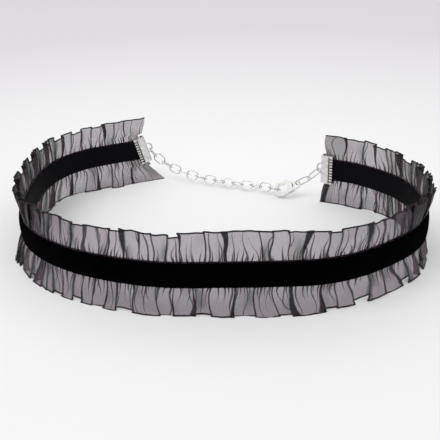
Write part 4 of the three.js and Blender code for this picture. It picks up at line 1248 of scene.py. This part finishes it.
@dataclass
class Link:
    """One oval link or ring of round wire."""

    node: str
    wire_sides: int = 12
    steps: int = 40
    decimals: int = 7  # of a metre, to which two of the node's points count as one

    def build(self, material: bpy.types.Material) -> bpy.types.Object:
        """Makes the link where its CAD node is.

        Args:
            material: Its finish.

        Returns:
            The piece.
        """
        points = np.unique(np.round(node_points(self.node), self.decimals), axis=0)
        centre = points.mean(0)
        axes = np.linalg.svd(points - centre, full_matrices=False)[2]
        length, width, wire = (np.ptp(points @ axis) for axis in axes)
        radius = (width - wire) / 2
        bm = bmesh.new()
        round_wire = bmesh.ops.create_circle(bm, segments=self.wire_sides, radius=wire / 2)
        upright = Matrix.Translation((radius, 0, 0)) @ Matrix.Rotation(math.pi / 2, 4, "X")
        bmesh.ops.transform(bm, matrix=upright, verts=round_wire["verts"])
        bmesh.ops.spin(
            bm,
            geom=bm.edges[:] + bm.verts[:],
            cent=(0, 0, 0),
            axis=(0, 0, 1),
            angle=2 * math.pi,
            steps=self.steps,
            use_merge=True,
        )
        stretch = (length - width) / 2
        for vert in bm.verts:
            if abs(vert.co.x) > TINY:
                vert.co.x += math.copysign(stretch, vert.co.x)
        bmesh.ops.recalc_face_normals(bm, faces=bm.faces)
        turn = Matrix([axes[0], axes[1], np.cross(axes[0], axes[1])]).transposed().to_4x4()
        bmesh.ops.transform(bm, matrix=Matrix.Translation(centre) @ turn, verts=bm.verts)
        bmesh.ops.recalc_face_normals(bm, faces=bm.faces)
        return finished(f"{self.node}_wire", bm, material, Body.CHOKER, Slot.SILVER, [self.node])


@dataclass
class Casting:
    """A solid metal piece with its edges rounded over, made from its CAD node's shape."""

    node: str
    name: str
    body: Body = Body.CHOKER
    edge_round: float = 0.15
    segments: int = 3
    angle: float = 28.0  # least angle that counts as an edge
    weld: float = 0.002  # between two points that count as one
    flat_angle: float = 1.0  # most angle between facets that are joined

    def build(self, material: bpy.types.Material) -> bpy.types.Object:
        """Makes the piece.

        Args:
            material: Its finish.

        Returns:
            The piece.
        """
        bm = bmesh.new()
        bm.from_mesh(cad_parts[self.node].data)
        bmesh.ops.remove_doubles(bm, verts=bm.verts, dist=self.weld * MM)
        flat = math.radians(self.flat_angle)
        bmesh.ops.dissolve_limit(bm, angle_limit=flat, verts=bm.verts, edges=bm.edges)
        self.add_detail(bm)
        piece = finished(self.name, bm, material, self.body, Slot.SILVER, [self.node])
        add_modifier(
            piece,
            "BEVEL",
            width=self.edge_round * MM,
            segments=self.segments,
            limit_method="ANGLE",
            angle_limit=math.radians(self.angle),
        )
        add_modifier(piece, "WEIGHTED_NORMAL", keep_sharp=True)
        return piece

    def add_detail(self, bm: bmesh.types.BMesh) -> None:
        """Adds nothing: a plain casting has no relief."""


@dataclass
class Crimp(Casting):
    """A toothed crimp with pressed ridges on its jaws."""

    line: RibbonLine | None = None
    distance: float = 0.0
    outwards: int = 1  # 1 where the ribbon's far end is and -1 where its near end is
    lean: float = 0.0
    height: float = 12.5
    plate: float = 0.6
    teeth: int = 10
    tooth_middle: float = -2.7  # of their row, along the jaw
    tooth_size: tuple[float, float, float] = (1.3, 0.5, 0.66)  # along the jaw, through it and up it
    cap: tuple[float, float] = (3.6, 0.3)  # length and height of the folded-in ends at the top and bottom
    cap_middle: float = -1.5
    shade_strip_middle: float = -2.45
    shade_strip: tuple[float, float, float] = (1.9, 0.12, 11.9)  # of the dark strip that paints shade in the groove between the teeth
    feel: float = 0.5  # to either side, over which the ribbon's heading is taken
    spine_half: float = 0.85  # of the folded back's inner width
    squeeze: float = 0.35  # of the CAD jaws' stand-off, as the real ribbons are thinner than their solids

    def own_axes(self) -> Matrix:
        """Finds the crimp's own axes: x out of the ribbon's end, y through it and z up its width.

        Returns:
            The way from them to the frame's axes.
        """
        line = self.line
        where = Vector(line.place(np.array([self.distance]), 0.0, line.middle)[0] * MM)
        around = np.array([self.distance - self.feel, self.distance + self.feel])
        before, after = line.place(around, 0.0, 0.0)
        out = Vector((after - before) * self.outwards).normalized()
        up = Vector((0, 0, 1))
        turn = Matrix([out, up.cross(out), up]).transposed().to_4x4()
        return Matrix.Translation(where) @ turn @ Matrix.Rotation(math.radians(self.lean), 4, "Y")

    def closed(self, stand_off: float) -> float:
        """Closes a jaw on the thin ribbons.

        Args:
            stand_off: How far off the ribbon's middle a point of the CAD's jaw is, with its sign.

        Returns:
            Where the same point of the closed jaw is.
        """
        over = abs(stand_off) - self.spine_half
        return math.copysign(self.spine_half + over * self.squeeze, stand_off) if over > 0 else stand_off

    def faces(self) -> tuple[float, float]:
        """Finds both closed jaws' outer faces.

        Returns:
            Where they are through the ribbon, in millimetres from its middle.
        """
        back = self.own_axes().inverted()
        through = [(back @ Vector(point)).y / MM for point in node_points(self.node)]
        return self.closed(min(through)), self.closed(max(through))

    def add_detail(self, bm: bmesh.types.BMesh) -> None:
        """Closes the jaws on the thin ribbons and presses teeth into both.

        Args:
            bm: The crimp's mesh.
        """
        to_frame = self.own_axes()
        back = to_frame.inverted()
        for vert in bm.verts:
            local = back @ vert.co
            local.y = self.closed(local.y / MM) * MM
            vert.co = to_frame @ local
        faces = self.faces()
        length, height = self.cap
        for end in (-1, 1):
            centre = (self.cap_middle, sum(faces) / 2, end * (self.height - height) / 2)
            self.add_block(bm, to_frame, centre, (length, faces[1] - faces[0] - self.plate / 2, height))
        pitch = self.height / self.teeth
        for face in faces:
            for tooth in range(self.teeth):
                up_jaw = (tooth + 0.5) * pitch - self.height / 2
                self.add_block(bm, to_frame, (self.tooth_middle, face, up_jaw), self.tooth_size)

    def add_block(
        self, bm: bmesh.types.BMesh, to_frame: Matrix, centre: Iterable[float], size: Iterable[float]
    ) -> None:
        """Adds a block to the jaw.

        Args:
            bm: The mesh that it joins.
            to_frame: From the crimp's own axes to the frame's.
            centre: Its middle in the crimp's axes, in millimetres.
            size: Its sizes in millimetres.
        """
        made = bmesh.ops.create_cube(bm, size=1.0)
        local = Matrix.Scale(MM, 4) @ Matrix.Translation(Vector(centre)) @ Matrix.Diagonal((*size, 1.0))
        bmesh.ops.transform(bm, matrix=to_frame @ local, verts=made["verts"])

    def build_painted_shade(self, material: bpy.types.Material) -> bpy.types.Object:
        """Makes the dark strips that paint shade in the grooves between the teeth.

        Args:
            material: Their dark finish, which paints the shade.

        Returns:
            The strips of both jaws.
        """
        bm = bmesh.new()
        to_frame = self.own_axes()
        for face in self.faces():
            self.add_block(bm, to_frame, (self.shade_strip_middle, face, 0.0), self.shade_strip)
        return finished(f"{self.node}_grooves", bm, material, self.body, Slot.SILVER)


# Stage


@dataclass(frozen=True)
class Lamp:
    """A round soft box that points at the choker."""

    name: str
    place: tuple[float, float, float]  # in metres
    size: float  # its width in metres
    power: float  # in watts

    def hang(self) -> bpy.types.Object:
        """Hangs the lamp.

        Returns:
            The lamp.
        """
        data = bpy.data.lights.new(self.name, "AREA")
        data.shape = "DISK"
        data.size = self.size
        data.energy = self.power
        lamp = bpy.data.objects.new(self.name, data)
        lamp.location = self.place
        lamp.rotation_mode = "QUATERNION"
        lamp.rotation_quaternion = (-Vector(self.place)).to_track_quat("-Z", "Y")
        bpy.context.scene.collection.objects.link(lamp)
        return lamp


@dataclass
class Studio:
    """The pale floor, the soft light and the camera."""

    floor_size: float = 12.0  # in metres
    floor_cells: int = 8
    eye: tuple[float, float, float] = (0.75, -173.25, 125.72)  # in the ribbon plan's axes
    elevation: float = 27.69  # degrees down
    roll: float = 2.54  # degrees
    lens: float = 53.75
    sensor: float = 36.0
    sight: tuple[float, float] = (0.01, 50.0)  # nearest and farthest that it sees, in metres
    world: float = 0.88  # strength of the light from all round
    lamps: tuple[Lamp, ...] = (
        Lamp("key_light", (-0.5, -0.3, 1.1), 0.8, 4.0),
        Lamp("fill_light", (0.7, -0.6, 0.9), 0.9, 1.0),
    )

    def floor(self, material: bpy.types.Material) -> bpy.types.Object:
        """Lays the floor.

        Args:
            material: Its finish.

        Returns:
            The floor.
        """
        bm = bmesh.new()
        cells = self.floor_cells
        bmesh.ops.create_grid(bm, x_segments=cells, y_segments=cells, size=self.floor_size / 2)
        mesh = bpy.data.meshes.new("floor")
        bm.to_mesh(mesh)
        bm.free()
        mesh.materials.append(material)
        floor = bpy.data.objects.new("floor", mesh)
        bpy.context.scene.collection.objects.link(floor)
        return floor

    def camera(self, line: RibbonLine) -> bpy.types.Object:
        """Sets the camera at the photograph's angle.

        Args:
            line: The ribbon's line, whose shift the camera shares.

        Returns:
            The camera.
        """
        data = bpy.data.cameras.new("camera")
        data.lens = self.lens
        data.sensor_width = self.sensor
        data.clip_start, data.clip_end = self.sight
        camera = bpy.data.objects.new("camera", data)
        level = 90.0  # degrees that turn a camera from straight down to level
        tilt = Matrix.Rotation(math.radians(level - self.elevation), 4, "X")
        turned = Matrix.Rotation(math.radians(-self.roll), 4, "Z")
        place = Vector((np.array(self.eye) + line.shift) * MM)
        camera.matrix_world = Matrix.Translation(place) @ tilt @ turned
        bpy.context.scene.collection.objects.link(camera)
        bpy.context.scene.camera = camera
        return camera

    def light(self) -> None:
        """Lights the scene from all round, with a soft key above."""
        world = bpy.data.worlds.new("studio")
        world.use_nodes = True
        sky = world.node_tree.nodes["Background"]
        NodeTree(world.node_tree).fill(sky, {"Color": (1.0, 1.0, 1.0, 1.0), "Strength": self.world})
        bpy.context.scene.world = world
        for lamp in self.lamps:
            lamp.hang()
        bpy.context.scene.view_settings.view_transform = "Standard"


def main() -> None:
    """Builds the choker, its stage and its camera."""
    logging.basicConfig(level=logging.INFO, format="%(message)s")
    grain, weave = grain_group(), weave_group()
    organza = OrganzaFinish("sheer_organza", weave, grain, gather_group()).material()
    velvet = VelvetFinish("black_velvet", grain).material()
    woven = BackingFinish("woven_ribbon", weave, grain).material()
    thread = HemFinish("hem_thread", grain).material()
    silver = SilverFinish("plated_silver", grain).material()

    line = RibbonLine()
    front = Band(
        "velvet_band", "velvet_ribbon", Slot.VELVET, line, edge_out=0.5, middle_out=1.15, thick=0.8
    )
    back = Band(
        "backing_band",
        "backing_ribbon",
        Slot.BACKING,
        line,
        edge_out=-0.4,
        middle_out=-0.7,
        thick=0.35,
        wobble=0.01,
        seed=12,
    )
    bands = [front.build(velvet), back.build(woven)]
    upper = Ruffle(
        "upper_organza",
        "upper_ruffle",
        Side.UPPER,
        UPPER_CREASES,
        line,
        left_end=1.7,
        right_end=0.4,
        seed=11,
        turn_dense=0.35,
    )
    lower = Ruffle(
        "lower_organza",
        "lower_ruffle",
        Side.LOWER,
        LOWER_CREASES,
        line,
        left_end=8.0,
        right_end=1.6,
        seed=23,
        end_fold=2.4,
    )
    for ruffle in (upper, lower):
        ruffle.build(organza, thread, bands)
    left = Crimp(
        "left_crimp",
        "left_crimp_metal",
        line=line,
        distance=-line.left_run,
        outwards=-1,
        lean=-line.left_lean,
    )
    right = Crimp("right_crimp", "right_crimp_metal", line=line, distance=line.length + line.right_run)
    # Painted shade: a dark copy of the silver for the strips in the crimps' grooves.
    groove_shade = SilverFinish(
        "shade_painted_silver", grain, colour=(0.17, 0.16, 0.15, 1.0), dull=(0.10, 0.095, 0.09, 1.0)
    ).material()
    for crimp in (left, right):
        crimp.build(silver)
        crimp.build_painted_shade(groove_shade)
    Casting("clasp_body", "clasp_body_metal", edge_round=0.32, segments=4).build(silver)
    Casting("clasp_lever", "clasp_lever_metal", body=Body.LEVER, edge_round=0.2).build(silver)
    for node in sorted(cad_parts):
        if node.startswith("chain_link") or node.endswith("_ring") or node == "tail_link":
            Link(node).build(silver)

    studio = Studio()
    studio.floor(FloorFinish("pale_floor", grain).material())
    studio.camera(line)
    studio.light()


if __name__ == "__main__":
    main()
